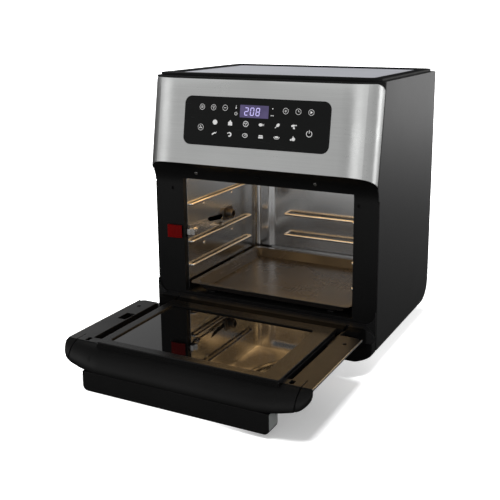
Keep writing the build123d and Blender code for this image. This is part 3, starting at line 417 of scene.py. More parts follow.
def lamp_glass():
    g = Mat("lamp_glass", Roughness=0.35, Emission_Strength=1.1)
    v = g.vec()
    n = g.noise(v, 240.0, 3.0)
    g.base(g.ramp(n, [(0.3, (0.75, 0.62, 0.40)), (0.7, (0.9, 0.8, 0.58))]))
    g.l(g.ramp(n, [(0.2, (1.0, 0.62, 0.24)), (0.8, (1.0, 0.74, 0.38))]), g.b.inputs["Emission Color"])
    g.normal(g.bump(n, 0.3, 0.0002))
    return g.m


MATS["lamp_glass"] = lamp_glass()


def painted_glow_sheet():
    """ceiling sheet of the oven; its underside carries a painted glow, warm emission standing in for the light of the
    heater beside it
    """
    g = Mat("painted_glow_sheet", Metallic=1.0, Emission_Strength=1.0)
    v = g.vec()
    n = g.noise(v, 15.0, 3.0, 0.5, 0.6)
    fine = g.noise(g.vec(900.0, 6.0, 900.0), 1.0, 2.0)
    g.base(g.ramp(n, [(0.3, (0.56, 0.54, 0.52)), (0.7, (0.62, 0.61, 0.60))]))
    g.rough(g.rng(fine, 0.3, 0.7, 0.18, 0.24))
    xyz = g.n("ShaderNodeSeparateXYZ")
    g.l(g.tc.outputs["Normal"], xyz.inputs["Vector"])
    # painted glow: the downward-facing side emits warm patches in place of the heater's light
    under = g.rng(xyz.outputs["Z"], -0.6, -0.3, 1.0, 0.0)
    glow = g.ramp(n, [(0.36, (0.42, 0.26, 0.115)), (0.5, (1.30, 0.80, 0.34)), (0.6, (2.60, 1.65, 0.72))])
    g.l(g.mix(under, (0.0, 0.0, 0.0), glow), g.b.inputs["Emission Color"])
    return g.m


MATS["painted_glow_sheet"] = painted_glow_sheet()

SLOT_OF = {s["node"]: s["material_slot"] for s in frame["record"]["subparts"]}
OVERRIDE = {
    "door_inner_panel": "door_plastic", "door_frame": "frame_plastic", "door_lip": "door_plastic",
    "door_glass_outer": "black_glass", "liner_top": "painted_glow_sheet", "chin": "chin_plastic", "spit_bearing": "heater_steel",
}
for name, obj in NODES.items():
    mat = MATS[OVERRIDE.get(name, SLOT_OF[name])]
    obj.data.materials.clear()
    obj.data.materials.append(mat)


# ------------------------------------------------------------- piece helpers
def piece(name, verts, faces, mat, body, smooth=False, angle=None):
    me = bpy.data.meshes.new(name)
    me.from_pydata([tuple(v) for v in verts], [], faces)
    me.validate()
    bm = bmesh.new()
    bm.from_mesh(me)
    bmesh.ops.remove_doubles(bm, verts=bm.verts, dist=1e-7)
    bmesh.ops.recalc_face_normals(bm, faces=bm.faces)
    bm.to_mesh(me)
    bm.free()
    me.materials.append(mat)
    o = bpy.data.objects.new(name, me)
    scene.collection.objects.link(o)
    for p in me.polygons:
        p.use_smooth = smooth
    if smooth and angle is not None:
        me.set_sharp_from_angle(angle=math.radians(angle))
    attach(o, body)
    return o


class Sheet2D:
    """flat shapes on a plane, each given a small thickness, gathered in one mesh"""

    def __init__(self, origin, u, v, lo, hi):
        self.o, self.u, self.v = origin, u.normalized(), v.normalized()
        self.w = self.u.cross(self.v)
        self.lo, self.hi = lo, hi
        self.verts, self.faces = [], []

    def at(self, p, w):
        return self.o + self.u * (p[0] / 1000) + self.v * (p[1] / 1000) + self.w * (w / 1000)

    def prism(self, pts):
        """closed convex or star-shaped outline"""
        n, k = len(pts), len(self.verts)
        self.verts += [self.at(p, self.lo) for p in pts] + [self.at(p, self.hi) for p in pts]
        self.faces.append(tuple(range(k + n - 1, k - 1, -1)))
        self.faces.append(tuple(range(k + n, k + 2 * n)))
        for i in range(n):
            j = (i + 1) % n
            self.faces.append((k + i, k + j, k + n + j, k + n + i))

    def stroke(self, pts, width, closed=False):
        """ribbon along a line"""
        n = len(pts)
        left, right_ = [], []
        for i in range(n):
            a = pts[i - 1] if (i or closed) else pts[i]
            b = pts[(i + 1) % n] if (i < n - 1 or closed) else pts[i]
            dx, dy = b[0] - a[0], b[1] - a[1]
            d = math.hypot(dx, dy) or 1.0
            nx, ny = -dy / d * width / 2, dx / d * width / 2
            left.append((pts[i][0] + nx, pts[i][1] + ny))
            right_.append((pts[i][0] - nx, pts[i][1] - ny))
        k = len(self.verts)
        for p, q in zip(left, right_):
            self.verts += [self.at(p, self.lo), self.at(q, self.lo), self.at(p, self.hi), self.at(q, self.hi)]
        m_ = n if closed else n - 1
        for i in range(m_):
            a, b = k + 4 * i, k + 4 * ((i + 1) % n)
            self.faces += [(a + 2, b + 2, b + 3, a + 3), (a, a + 1, b + 1, b), (a, b, b + 2, a + 2), (a + 1, a + 3, b + 3, b + 1)]
        if not closed:
            a, b = k, k + 4 * (n - 1)
            self.faces += [(a, a + 2, a + 3, a + 1), (b, b + 1, b + 3, b + 2)]

    def ring(self, c, r, width, a0=0.0, a1=360.0, n=40, sy=1.0):
        full = abs(a1 - a0) >= 360
        pts = []
        for i in range(n if full else n + 1):
            t = math.radians(a0 + (a1 - a0) * i / n)
            pts.append((c[0] + r * math.cos(t), c[1] + r * sy * math.sin(t)))
        self.stroke(pts, width, closed=full)

    def blob(self, c, rx, ry, rot=0.0, n=28, wob=0.0, k=3):
        pts = []
        cr, sr = math.cos(math.radians(rot)), math.sin(math.radians(rot))
        for i in range(n):
            t = 2 * math.pi * i / n
            f = 1 + wob * math.cos(k * t)
            x, y = rx * f * math.cos(t), ry * f * math.sin(t)
            pts.append((c[0] + x * cr - y * sr, c[1] + x * sr + y * cr))
        self.prism(pts)


# ------------------------------------------------------------- control panel
LEAN, F_Y, F_Z, GZ = 0.166, -10.0, 318.0, 286.5
G_O = P(0, F_Y - (F_Z - GZ) * LEAN, GZ)
G_U, G_V = Vector((1, 0, 0)), Vector((0, LEAN, 1))


def print_mat():
    g = Mat("panel_print", Roughness=0.5, Emission_Strength=0.30)
    n = g.noise(g.vec(), 700.0, 3.0)
    g.base(g.ramp(n, [(0.3, (0.62, 0.62, 0.61)), (0.7, (0.8, 0.8, 0.79))]))
    g.l(g.ramp(n, [(0.3, (0.80, 0.80, 0.79)), (0.7, (1.0, 1.0, 0.99))]), g.b.inputs["Emission Color"])
    return g.m


def display_mat():
    g = Mat("display_window", Roughness=0.22, Emission_Strength=1.0)
    v = g.vec()
    n = g.noise(v, 60.0, 3.0)
    grid = g.voronoi(v, 1200.0)
    glow = g.ramp(n, [(0.25, (0.044, 0.034, 0.090)), (0.75, (0.085, 0.064, 0.155))])
    g.base(g.ramp(n, [(0.3, (0.02, 0.017, 0.04)), (0.7, (0.03, 0.025, 0.055))]))
    g.l(g.mix(g.rng(grid, 0.1, 0.5, 0.0, 0.25), glow, (0.03, 0.022, 0.075)), g.b.inputs["Emission Color"])
    return g.m


def digit_mat():
    g = Mat("display_digits", Roughness=0.4, Emission_Strength=1.0)
    n = g.noise(g.vec(), 500.0, 2.0)
    g.base(g.ramp(n, [(0.3, (0.35, 0.32, 0.6)), (0.7, (0.45, 0.42, 0.7))]))
    g.l(g.ramp(n, [(0.3, (0.38, 0.33, 0.66)), (0.7, (0.52, 0.47, 0.82))]), g.b.inputs["Emission Color"])
    return g.m


MATS["print"], MATS["display"], MATS["digits"] = print_mat(), display_mat(), digit_mat()

ic = Sheet2D(G_O, G_U, G_V, 0.45, 0.68)
LW = 0.47
RR = 3.6
ROW1 = [(-78.2, 18.0), (-61.0, 18.1), (-43.6, 18.2), (43.7, 18.0), (61.2, 18.0), (78.8, 17.9)]
for c in ROW1:
    ic.ring(c, RR, LW)
# 1: shelf lines  2: lamp  3: minus  4: plus  5: clock  6: start
c = ROW1[0]
for dy in (-1.2, 0.0, 1.2):
    ic.stroke([(c[0] - 1.7, c[1] + dy), (c[0] + 1.7, c[1] + dy)], 0.5)
c = ROW1[1]
ic.ring((c[0], c[1] + 0.6), 1.15, 0.5, n=24)
ic.stroke([(c[0] - 0.9, c[1] - 1.6), (c[0] + 0.9, c[1] - 1.6)], 0.5)
c = ROW1[2]
ic.stroke([(c[0] - 1.7, c[1]), (c[0] + 1.7, c[1])], 0.7)
c = ROW1[3]
ic.stroke([(c[0] - 1.7, c[1]), (c[0] + 1.7, c[1])], 0.6)
ic.stroke([(c[0], c[1] + 0.3), (c[0], c[1] + 1.7)], 0.6)
ic.stroke([(c[0], c[1] - 1.7), (c[0], c[1] - 0.3)], 0.6)
c = ROW1[4]
ic.stroke([(c[0], c[1] + 2.1), (c[0], c[1] - 0.1), (c[0] + 1.6, c[1] - 0.1)], 0.6)
c = ROW1[5]
ic.prism([(c[0] - 1.2, c[1] - 1.9), (c[0] + 2.0, c[1]), (c[0] - 1.2, c[1] + 1.9)])
# small marks beside the display
ic.stroke([(-27.3, 19.0), (-27.3, 22.2)], 0.6)
ic.blob((-27.3, 18.6), 0.9, 0.9, n=14)
ic.ring((-27.0, 11.4), 1.9, 0.5, n=24)
ic.stroke([(-27.0, 12.4), (-27.0, 11.3), (-26.2, 11.3)], 0.45)
ic.blob((25.4, 20.1), 0.8, 0.8, n=14)
ic.stroke([(23.2, 11.3), (24.6, 11.3)], 1.1)
ic.stroke([(25.6, 11.3), (27.2, 11.3)], 1.1)
# fan key and power key
c = (-78.8, -8.7)
ic.ring(c, 4.0, LW)
for a in (90, 210, 330):
    t = math.radians(a)
    ic.blob((c[0] + 1.35 * math.cos(t), c[1] + 1.35 * math.sin(t)), 1.15, 0.6, rot=a + 35, n=16)
c = (77.8, -8.7)
ic.ring(c, 3.7, 0.75, 118, 422, n=40)
ic.stroke([(c[0], c[1] + 0.6), (c[0], c[1] + 4.6)], 0.75)
# food pictograms, upper row
FX = (-57.4, -34.7, -11.8, 10.7, 33.4, 56.1)
y = -1.1
ic.blob((FX[0], y), 3.5, 3.3, wob=0.03, k=8, n=40)                                   # round loaf
ic.prism([(FX[1] - 3.0, y - 3.2), (FX[1] + 3.0, y - 3.2), (FX[1] + 3.0, y + 0.9), (FX[1] + 1.2, y + 2.0),
          (FX[1] + 0.6, y + 3.6), (FX[1] - 0.6, y + 3.6), (FX[1] - 1.2, y + 2.0), (FX[1] - 3.0, y + 0.9)])   # pot
ic.ring((FX[2], y), 3.5, 0.75)                                                         # flat bread
for dx, dy in ((-1.2, 0.8), (1.1, 1.0), (0.1, -1.2)):
    ic.blob((FX[2] + dx, y + dy), 0.75, 0.75, n=12)
ic.blob((FX[3] - 0.9, y), 2.9, 1.9, n=26)                                              # fish
ic.prism([(FX[3] + 2.1, y), (FX[3] + 4.0, y + 1.7), (FX[3] + 3.4, y), (FX[3] + 4.0, y - 1.7)])
ic.blob((FX[4] + 0.9, y + 0.9), 2.6, 1.9, rot=40, n=26)                                # drumstick
ic.stroke([(FX[4] - 1.0, y - 1.0), (FX[4] - 3.2, y - 2.9)], 0.9)
ic.blob((FX[5] - 0.8, y + 1.3), 2.9, 1.3, rot=12, n=24)                                # cutlet with a leaf
ic.blob((FX[5] + 0.5, y - 1.6), 1.5, 1.2, rot=-30, n=20)
ic.blob((FX[5] + 3.2, y + 1.9), 1.0, 0.8, n=14)
# lower row
FX = (-57.6, -34.8, -11.9, 10.8, 33.3, 56.3)
y = -15.9
ic.stroke([(FX[0] - 3.2, y - 1.6), (FX[0] - 1.4, y - 0.2), (FX[0] + 0.6, y + 0.9), (FX[0] + 2.6, y + 0.7)], 1.7)   # pepper
ic.stroke([(FX[0] + 2.5, y + 0.9), (FX[0] + 3.4, y + 2.2)], 0.6)
ic.ring((FX[1], y), 2.2, 1.7, -120, 120, n=26)                                         # prawn
ic.blob((FX[1] - 2.3, y + 1.6), 1.2, 0.6, rot=30, n=14)
ic.ring((FX[2], y), 3.5, 0.7, sy=0.72)                                                 # steak
ic.ring((FX[2] + 0.7, y + 0.3), 1.2, 0.5, n=24, sy=0.8)
ic.prism([(FX[3] - 3.3, y - 2.4), (FX[3] + 3.3, y - 2.4), (FX[3] + 3.3, y - 0.5), (FX[3] - 3.3, y - 0.5)])          # cake
ic.prism([(FX[3] - 3.3, y + 0.0), (FX[3] + 3.3, y + 0.0), (FX[3] + 2.5, y + 1.7), (FX[3] - 2.5, y + 1.7)])
ic.stroke([(FX[4] - 4.2, y + 0.6), (FX[4] - 2.2, y - 1.6), (FX[4] + 2.2, y - 1.6), (FX[4] + 4.2, y + 0.6)], 0.7)    # bowl
ic.blob((FX[4], y + 0.6), 2.8, 1.1, n=24)
ic.blob((FX[5] + 0.6, y - 0.6), 2.4, 2.3, n=26)                                        # fruit
ic.stroke([(FX[5] + 0.4, y + 1.6), (FX[5] - 0.3, y + 3.3)], 0.7)
ic.blob((FX[5] - 2.9, y - 1.6), 1.3, 1.2, n=18)
piece("panel_icons", ic.verts, ic.faces, MATS["print"], "cabinet")


def rounded(x0, x1, y0, y1, r, n=5):
    pts = []
    for cx, cy, a in ((x1 - r, y1 - r, 0), (x0 + r, y1 - r, 90), (x0 + r, y0 + r, 180), (x1 - r, y0 + r, 270)):
        for i in range(n + 1):
            t = math.radians(a + 90 * i / n)
            pts.append((cx + r * math.cos(t), cy + r * math.sin(t)))
    return pts


dp = Sheet2D(G_O, G_U, G_V, 0.45, 0.66)
dp.prism(rounded(-21.4, 19.8, 7.0, 23.2, 0.8))
piece("display_window", dp.verts, dp.faces, MATS["display"], "cabinet")

dg = Sheet2D(G_O, G_U, G_V, 0.55, 0.74)
SEG = {"2": "abged", "0": "abcdef", "8": "abcdefg"}


def digit(ch, x, y, w, h, t):
    """seven-segment figure, slightly slanted"""
    s = 0.08
    lines = {
        "a": ((0, h), (w, h)), "b": ((w, h), (w, h / 2)), "c": ((w, h / 2), (w, 0)), "d": ((0, 0), (w, 0)),
        "e": ((0, h / 2), (0, 0)), "f": ((0, h), (0, h / 2)), "g": ((0, h / 2), (w, h / 2)),
    }
    for k in SEG[ch]:
        (ax, ay), (bx, by) = lines[k]
        L = math.hypot(bx - ax, by - ay)
        ux, uy = (bx - ax) / L, (by - ay) / L
        gap = 0.16
        a = (ax + ux * gap, ay + uy * gap)
        b = (bx - ux * gap, by - uy * gap)
        nx, ny = -uy * t / 2, ux * t / 2
        pts = [a, (a[0] + ux * t / 2 + nx, a[1] + uy * t / 2 + ny), (b[0] - ux * t / 2 + nx, b[1] - uy * t / 2 + ny), b,
               (b[0] - ux * t / 2 - nx, b[1] - uy * t / 2 - ny), (a[0] + ux * t / 2 - nx, a[1] + uy * t / 2 - ny)]
        pts = [(x + px + s * py, y + py) for px, py in pts]
        dg.prism(pts)


for ch, x in zip("208", (-14.6, -6.4, 1.8)):
    digit(ch, x, 10.2, 4.6, 9.4, 1.05)
piece("display_digits", dg.verts, dg.faces, MATS["digits"], "cabinet")

# ------------------------------------------------------------------ door lip
FX0, FX1 = -116.2, 127.7


LIP_EDGE = [(0, -226.0, 9.5), (102, -226.0, 9.5), (118, -224.0, 9.7), (130, -221.8, 10.2), (140, -219.6, 11.5), (148, -218.0, 12.9),
            (155, -215.4, 14.9), (160, -212.4, 18.4), (163, -209.2, 22.8), (165, -205.2, 28.5)]


def smooth_table(rows, a, k):
    """monotone cubic through the rows of a table, read at a"""
    n = len(rows)
    d = [(rows[i + 1][k] - rows[i][k]) / (rows[i + 1][0] - rows[i][0]) for i in range(n - 1)]
    mm = [d[0]] + [0.0 if d[i - 1] * d[i] <= 0 else 2 * d[i - 1] * d[i] / (d[i - 1] + d[i]) for i in range(1, n - 1)] + [d[-1]]
    for i in range(n - 1):
        x0, x1 = rows[i][0], rows[i + 1][0]
        if a <= x1 or i == n - 2:
            h = x1 - x0
            t = min(1.0, max(0.0, (a - x0) / h))
            return ((1 + 2 * t) * (1 - t) ** 2 * rows[i][k] + t * (1 - t) ** 2 * h * mm[i]
                    + t * t * (3 - 2 * t) * rows[i + 1][k] + t * t * (t - 1) * h * mm[i + 1])


def lip_section(x, inside, groove=0.0):
    """closed outline of the lip in depth and height, same count for every x"""
    a_ = abs(x)
    yf = smooth_table(LIP_EDGE, a_, 1) + groove
    zf = smooth_table(LIP_EDGE, a_, 2)
    top = 34.5 - groove
    yt = -192.0
    a, b = yt - yf, top - zf
    cut = -206.2 if inside else -199.1
    t0 = math.asin(min(1.0, (yt - cut) / a))
    pts = []
    want = 24
    for i in range(want + 1):
        tt = t0 + (math.pi / 2 - t0) * i / want
        pts.append((yt - a * math.sin(tt), zf + b * math.cos(tt)))
    room = max(0.3, -199.6 - yf)
    kx = min(2.0 + 6.0 * max(0.0, (a_ - 110.0) / 55.0), room * 0.8)
    kz = min(2.0, 0.25 + 0.22 * room)
    for i in range(1, 9):
        tt = math.pi / 2 * i / 8
        pts.append((yf + kx * (1 - math.cos(tt)), zf - kz * math.sin(tt) + groove * 0.4))
    zb = zf - kz + groove * 0.4
    zc = pts[0][1]
    ledge = min(max(29.4 if inside else 31.2, zb + 0.3), zc - 0.3)
    pts += [(-199.6, zb), (-199.6, zb + 0.6 * (ledge - zb)), (-199.4, ledge), (cut, ledge)]
    return pts


cols = []


def add_col(x, inside, groove=0.0):
    cols.append([(x, p[0], p[1]) for p in lip_section(x, inside, groove)])


half = [(165.0, 0.0), (164.6, 0.0), (164.1, 0.0), (163.4, 0.0), (162.5, 0.0), (161.4, 0.0), (160.2, 0.0), (158.8, 0.0), (157.2, 0.0), (155.4, 0.0),
        (153.5, 0.0), (152.3, 0.0), (151.95, 0.2), (151.75, 2.0), (150.55, 2.0), (150.35, 0.2), (150.0, 0.0), (148.6, 0.0), (146.5, 0.0),
        (144.0, 0.0), (141.0, 0.0), (138.0, 0.0), (135.0, 0.0), (132.74, 0.0)]
for x, g_ in half:
    add_col(-x, False, g_)
for x in (-129.0, -125.5, -121.0, FX0 - 0.02):
    add_col(x, False)
add_col(FX0, True)
for x in (-114, -110, -106, -102, -98, -80, -50, 0, 50, 80, 98, 102, 106, 110, 114, 118, 122, 126):
    add_col(x, True)
add_col(FX1, True)
for x in (FX1 + 0.02, 130.2):
    add_col(x, False)
for x, g_ in reversed(half):
    add_col(x, False, g_)

verts, faces = [], []
cnt = len(cols[0])
for c in cols:
    verts += [P(*p) for p in c]
for i in range(len(cols) - 1):
    for j in range(cnt):
        a, b = i * cnt + j, i * cnt + (j + 1) % cnt
        faces.append((a, b, b + cnt, a + cnt))
faces.append(tuple(range(cnt)))
faces.append(tuple(range((len(cols) - 1) * cnt + cnt - 1, (len(cols) - 1) * cnt - 1, -1)))
lip = piece("door_top_lip", verts, faces, MATS["lip_plastic"], "door", smooth=True, angle=32)
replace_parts(lip, "door_lip")

# ---------------------------------------------------- small pieces in the oven


def corner_strip(name, x, y, r, sx):
    """rounded upright corner of the liner between side and back wall"""
    n = 10
    pts = [(x, y)]
    for i in range(n + 1):
        t = math.pi / 2 * i / n
        pts.append((x + sx * (r - r * math.cos(t)), y - r + r * math.sin(t)))
    verts = [P(px, py, 37.6) for px, py in pts] + [P(px, py, 201.6) for px, py in pts]
    k = len(pts)
    faces = [tuple(range(k)), tuple(range(2 * k - 1, k - 1, -1))]
    for i in range(k):
        j = (i + 1) % k
        faces.append((i, j, k + j, k + i))
    return piece(name, verts, faces, MATS["liner_steel"], "cabinet", smooth=True, angle=30)


corner_strip("liner_corner_left", -119.0, 216.0, 8.0, 1)
corner_strip("liner_corner_right", 131.0, 216.0, 5.4, -1)


def back_sheet():
    """rear liner sheet whose pressed field has softly rolled edges"""
    nx, nz = 126, 56
    x0, x1, z0, z1 = -120.0, 132.0, 36.0, 203.0

    def step(t):
        t = min(1.0, max(0.0, t))
        return t * t * (3 - 2 * t)

    def pressed(x, z):
        side = step((x + 97.0) / 11.0) * step((109.0 - x) / 11.0)
        fade = step((z - 42.0) / 11.0) * step((199.0 - z) / 11.0)
        return 3.0 * side * fade

    verts, faces = [], []
    for off in (216.0, 217.0):
        for k in range(nz + 1):
            for i in range(nx + 1):
                x, z = x0 + (x1 - x0) * i / nx, z0 + (z1 - z0) * k / nz
                verts.append(P(x, off + pressed(x, z), z))
    w, half_ = nx + 1, (nx + 1) * (nz + 1)
    for k in range(nz):
        for i in range(nx):
            a = k * w + i
            faces.append((a, a + 1, a + 1 + w, a + w))
            faces.append((half_ + a, half_ + a + w, half_ + a + 1 + w, half_ + a + 1))
    ring_ = [i for i in range(w)] + [k * w + nx for k in range(1, nz + 1)] + [nz * w + i for i in range(nx - 1, -1, -1)] + [
        k * w for k in range(nz - 1, 0, -1)]
    for a, b in zip(ring_, ring_[1:] + ring_[:1]):
        faces.append((a, b, half_ + b, half_ + a))
    return piece("liner_back_sheet", verts, faces, MATS["liner_steel"], "cabinet", smooth=True, angle=40)


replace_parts(back_sheet(), "liner_back")


def rod_foot(name, x, z):
    """end of a rack rod where it meets the pressed field"""
    n = 20
    verts, faces = [], []
    for y in (215.6, 219.4):
        verts += [P(x + 2.0 * math.cos(2 * math.pi * i / n), y, z + 2.0 * math.sin(2 * math.pi * i / n)) for i in range(n)]
    for i in range(n):
        faces.append((i, (i + 1) % n, n + (i + 1) % n, n + i))
    faces += [tuple(range(n)), tuple(range(2 * n - 1, n - 1, -1))]
    return piece(name, verts, faces, MATS["bright_wire"], "cabinet", smooth=True, angle=40)


def bar(name, x0, x1, y0, y1, z0, z1, mat, body):
    verts = [P(x, y, z) for x in (x0, x1) for y in (y0, y1) for z in (z0, z1)]
    faces = [(0, 1, 3, 2), (4, 6, 7, 5), (0, 4, 5, 1), (2, 3, 7, 6), (0, 2, 6, 4), (1, 5, 7, 3)]
    return piece(name, verts, faces, MATS[mat], body)


# closes the seam between the lower front and the casing
bar("chin_backing", -163.6, 163.6, -0.2, 5.0, 0.8, 24.0, "black_plastic", "cabinet")

rod_foot("rod_foot_left", -64.0, 77.5)
rod_foot("rod_foot_right", 76.0, 77.5)


def rib(name, x0, x1, y, z, w, h):
    """low pressed rib with rounded ends on the tray"""
    n, k = 24, 6
    verts, faces = [], []
    rings = []
    for q in range(k + 1):
        t = math.pi / 2 * q / k
        rr = w / 2 * math.cos(t)
        hz = z - 0.2 + (h + 0.2) * math.sin(t)
        ring_ = []
        for i in range(n):
            a = 2 * math.pi * i / n
            ex = x1 - w / 2 if math.cos(a) >= 0 else x0 + w / 2
            ring_.append((ex + max(rr, 0.02) * math.cos(a), y + max(rr, 0.02) * math.sin(a), hz))
        rings.append(ring_)
    for r_ in rings:
        verts += [P(*p) for p in r_]
    for q in range(k):
        for i in range(n):
            j = (i + 1) % n
            faces.append((q * n + i, q * n + j, (q + 1) * n + j, (q + 1) * n + i))
    faces.append(tuple(range(n - 1, -1, -1)))
    faces.append(tuple(range(k * n, (k + 1) * n)))
    return piece(name, verts, faces, MATS["tray_coating"], "drip_tray", smooth=True, angle=60)


rib("tray_rib", -40.0, 52.0, 22.0, 41.0, 5.0, 2.6)

# ------------------------------------------------------------ stage and light


def only_camera(o):
    o.visible_diffuse = o.visible_glossy = o.visible_transmission = False
    o.visible_volume_scatter = o.visible_shadow = False


def plane(name, size, z):
    me = bpy.data.meshes.new(name)
    me.from_pydata([(-size, -size, z), (size, -size, z), (size, size, z), (-size, size, z)], [], [(0, 1, 2, 3)])
    o = bpy.data.objects.new(name, me)
    scene.collection.objects.link(o)
    return o


def floor_mat(name, col, emit):
    g = Mat(name, Roughness=0.9, Specular_IOR_Level=0.0, Emission_Strength=emit)
    n = g.noise(g.vec(), 3.0, 3.0)
    g.base(g.ramp(n, [(0.3, sc(col, 0.985)), (0.7, col)]))
    g.b.inputs["Emission Color"].default_value = (1.0, 1.0, 1.0, 1.0)
    return g.m


def along(g, dx, dy):
    """distance along one floor direction, metres"""
    d = g.n("ShaderNodeVectorMath")
    d.operation = "DOT_PRODUCT"
    g.l(g.tc.outputs["Object"], d.inputs[0])
    d.inputs[1].default_value = (dx, dy, 0.0)
    return d.outputs["Value"]


floor = plane("floor", 30.0, -0.0004)
g = Mat("floor_white", Roughness=0.9, Specular_IOR_Level=0.0, Emission_Strength=1.0)
g.base(g.ramp(g.noise(g.vec(), 3.0, 3.0), [(0.3, (0.85, 0.85, 0.85)), (0.7, (0.86, 0.86, 0.86))]))
# painted shadow on the floor: the glow is full white up to just right of the middle, painting the shadow out there;
# further right it drops towards the front, so the shadow beside the door is painted darker at the front and fading
# towards the rear
f_ = g.rng(along(g, 0.0, 1.0), -0.25, 0.02, 0.0, 1.0)
painted_shadow_level = g.ramp(f_, [(0.0, (0.27, 0.27, 0.27)), (0.35, (0.30, 0.30, 0.30)), (0.75, (0.50, 0.50, 0.50)), (1.0, (0.72, 0.72, 0.72))])
g.l(g.mix(g.rng(along(g, 1.0, 0.0), 0.03, 0.12, 0.0, 1.0, smooth=True), (1.1, 1.1, 1.1), painted_shadow_level), g.b.inputs["Emission Color"])
floor.data.materials.append(g.m)
only_camera(floor)

under = plane("floor_bounce", 30.0, -0.0012)
g = Mat("floor_bounce", Roughness=0.9, Specular_IOR_Level=0.0, Emission_Strength=1.0)
g.base(g.ramp(g.noise(g.vec(), 3.0, 3.0), [(0.3, (0.10, 0.10, 0.10)), (0.7, (0.11, 0.11, 0.11))]))
f_ = g.rng(along(g, 0.44, 0.90), 0.0, 6.0, 0.0, 1.0)
far_ = g.ramp(f_, [(0.0, (0.01, 0.01, 0.01)), (0.05, (0.034, 0.034, 0.034)), (0.16, (0.126, 0.126, 0.126)), (0.30, (0.39, 0.39, 0.39)), (0.45, (0.80, 0.80, 0.80)),
                        (0.8, (1.0, 1.0, 1.0))])
front = g.rng(along(g, 0.0, -1.0), 0.42, 0.62, 0.0, 0.60, smooth=True)
far_ = g.math("ADD", far_, front)
g.l(far_, g.b.inputs["Emission Color"])
under.data.materials.append(g.m)
under.visible_camera = False

dome_me = bpy.data.meshes.new("backdrop")
bm = bmesh.new()
bmesh.ops.create_icosphere(bm, subdivisions=4, radius=28.0)
bm.to_mesh(dome_me)
bm.free()
dome = bpy.data.objects.new("backdrop", dome_me)
scene.collection.objects.link(dome)
dome_me.materials.append(floor_mat("backdrop_white", (0.9, 0.9, 0.9), 1.05))
only_camera(dome)


def area(name, loc, target, sx, sy, power, color=(1, 1, 1), spread=180):
    d = bpy.data.lights.new(name, "AREA")
    d.shape = "RECTANGLE"
    d.size, d.size_y = sx, sy
    d.energy = power
    d.color = color
    d.spread = math.radians(spread)
    o = bpy.data.objects.new(name, d)
    scene.collection.objects.link(o)
    o.location = loc
    o.rotation_mode = "QUATERNION"
    o.rotation_quaternion = (Vector(target) - Vector(loc)).to_track_quat("-Z", "Y")
    o.visible_camera = False
    return o


def lights_only(light, objs):
    """this light falls on these objects alone"""
    c = bpy.data.collections.new(light.name + "_on")
    for o in objs:
        c.objects.link(o)
    light.light_linking.receiver_collection = c


def polar(az, dist, z):
    a = math.radians(az)
    return Vector((dist * math.sin(a), -dist * math.cos(a), z))


MID = Vector((0.0, 0.05, 0.2))
# overhead light of the floor: a soft shadow right under the open door
sun_d = bpy.data.lights.new("floor_sun", "SUN")
sun_d.energy, sun_d.angle = 3.7, math.radians(20)
sun = bpy.data.objects.new("floor_sun", sun_d)
scene.collection.objects.link(sun)
sun.rotation_mode = "QUATERNION"
sun.rotation_quaternion = (-Vector((-0.10, 0.0, 1.0))).to_track_quat("-Z", "Y")
lights_only(sun, [floor])
# overhead softbox of the top panel
top_box = area("top_box", (-0.3, -0.1, 2.3), (0.0, 0.1, 0.36), 1.3, 1.3, 34.0)
lights_only(top_box, [NODES["top_panel"]])

# warm light of the oven lamp and heater, inside the cavity
glow = area("oven_glow", P(6, 113, 221), P(6, 113, 60), 0.160, 0.160, 0.11, (1.0, 0.66, 0.31))
glow.data.shape = "DISK"
pt = bpy.data.lights.new("oven_lamp", "POINT")
pt.energy, pt.color, pt.shadow_soft_size = 0.02, (1.0, 0.72, 0.40), 0.012
po = bpy.data.objects.new("oven_lamp", pt)
scene.collection.objects.link(po)
po.location = P(112, 178, 136)
po.visible_camera = False

# surrounding light: upright soft panels around the object, dimmer overhead
world = bpy.data.worlds.new("studio")
scene.world = world
world.use_nodes = True
wt = world.node_tree
wt.nodes.clear()
wo = wt.nodes.new("ShaderNodeOutputWorld")
bg = wt.nodes.new("ShaderNodeBackground")
tc = wt.nodes.new("ShaderNodeTexCoord")
sp = wt.nodes.new("ShaderNodeSeparateXYZ")
wt.links.new(tc.outputs["Generated"], sp.inputs["Vector"])


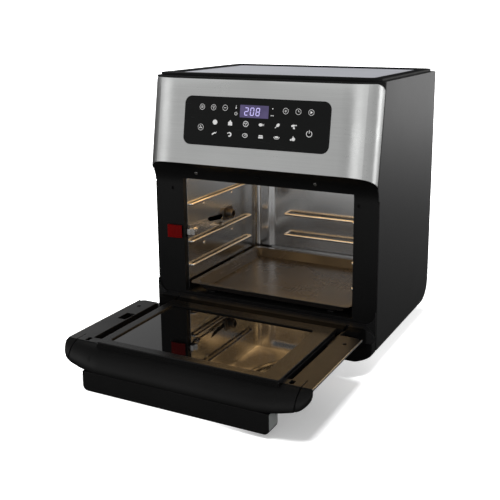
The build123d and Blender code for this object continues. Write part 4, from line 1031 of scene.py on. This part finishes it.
def wramp(fac, stops):
    r = wt.nodes.new("ShaderNodeValToRGB")
    e = r.color_ramp.elements
    while len(e) > 1:
        e.remove(e[-1])
    e[0].position, e[0].color = stops[0][0], (stops[0][1],) * 3 + (1.0,)
    for p_, c_ in stops[1:]:
        x_ = e.new(p_)
        x_.color = (c_, c_, c_, 1.0)
    wt.links.new(fac, r.inputs["Fac"])
    return r.outputs["Color"]


def wmath(op, a, b):
    t = wt.nodes.new("ShaderNodeMath")
    t.operation = op
    for i_, x_ in enumerate((a, b)):
        if hasattr(x_, "links"):
            wt.links.new(x_, t.inputs[i_])
        else:
            t.inputs[i_].default_value = x_
    return t.outputs[0]


turn = wmath("ARCTAN2", sp.outputs["X"], wmath("MULTIPLY", sp.outputs["Y"], -1.0))
fac = wmath("ADD", wmath("MULTIPLY", turn, 0.5 / math.pi), 0.5)
PANELS = [(-180, 0.055), (-152, 0.055), (-146, 0.40), (-139, 0.5), (-134, 1.1), (-126, 1.1), (-122, 0.25), (-72, 0.22), (-66, 1.5), (-52, 1.5),
          (-46, 0.72), (-20, 0.63), (-4, 0.38), (2, 1.62), (12, 1.62), (17, 0.70), (66, 0.5), (74, 2.7), (84, 2.7), (88, 0.2), (130, 0.4),
          (145, 0.8), (165, 0.65), (172, 0.055), (180, 0.055)]
round_ = wramp(fac, [(a_ / 360.0 + 0.5, c_) for a_, c_ in PANELS])
height = wramp(wmath("ADD", wmath("MULTIPLY", sp.outputs["Z"], 0.5), 0.5),
               [(0.0, 0.05), (0.47, 0.05), (0.50, 1.0), (0.66, 1.0), (0.78, 0.45), (1.0, 0.40)])
mx = wt.nodes.new("ShaderNodeMix")
mx.data_type = "RGBA"
mx.blend_type = "MULTIPLY"
mx.inputs[0].default_value = 1.0
ins = [q for q in mx.inputs if q.type == "RGBA"]
wt.links.new(round_, ins[0])
wt.links.new(height, ins[1])
wt.links.new([q for q in mx.outputs if q.type == "RGBA"][0], bg.inputs["Color"])
bg.inputs["Strength"].default_value = 1.0
wt.links.new(bg.outputs["Background"], wo.inputs["Surface"])
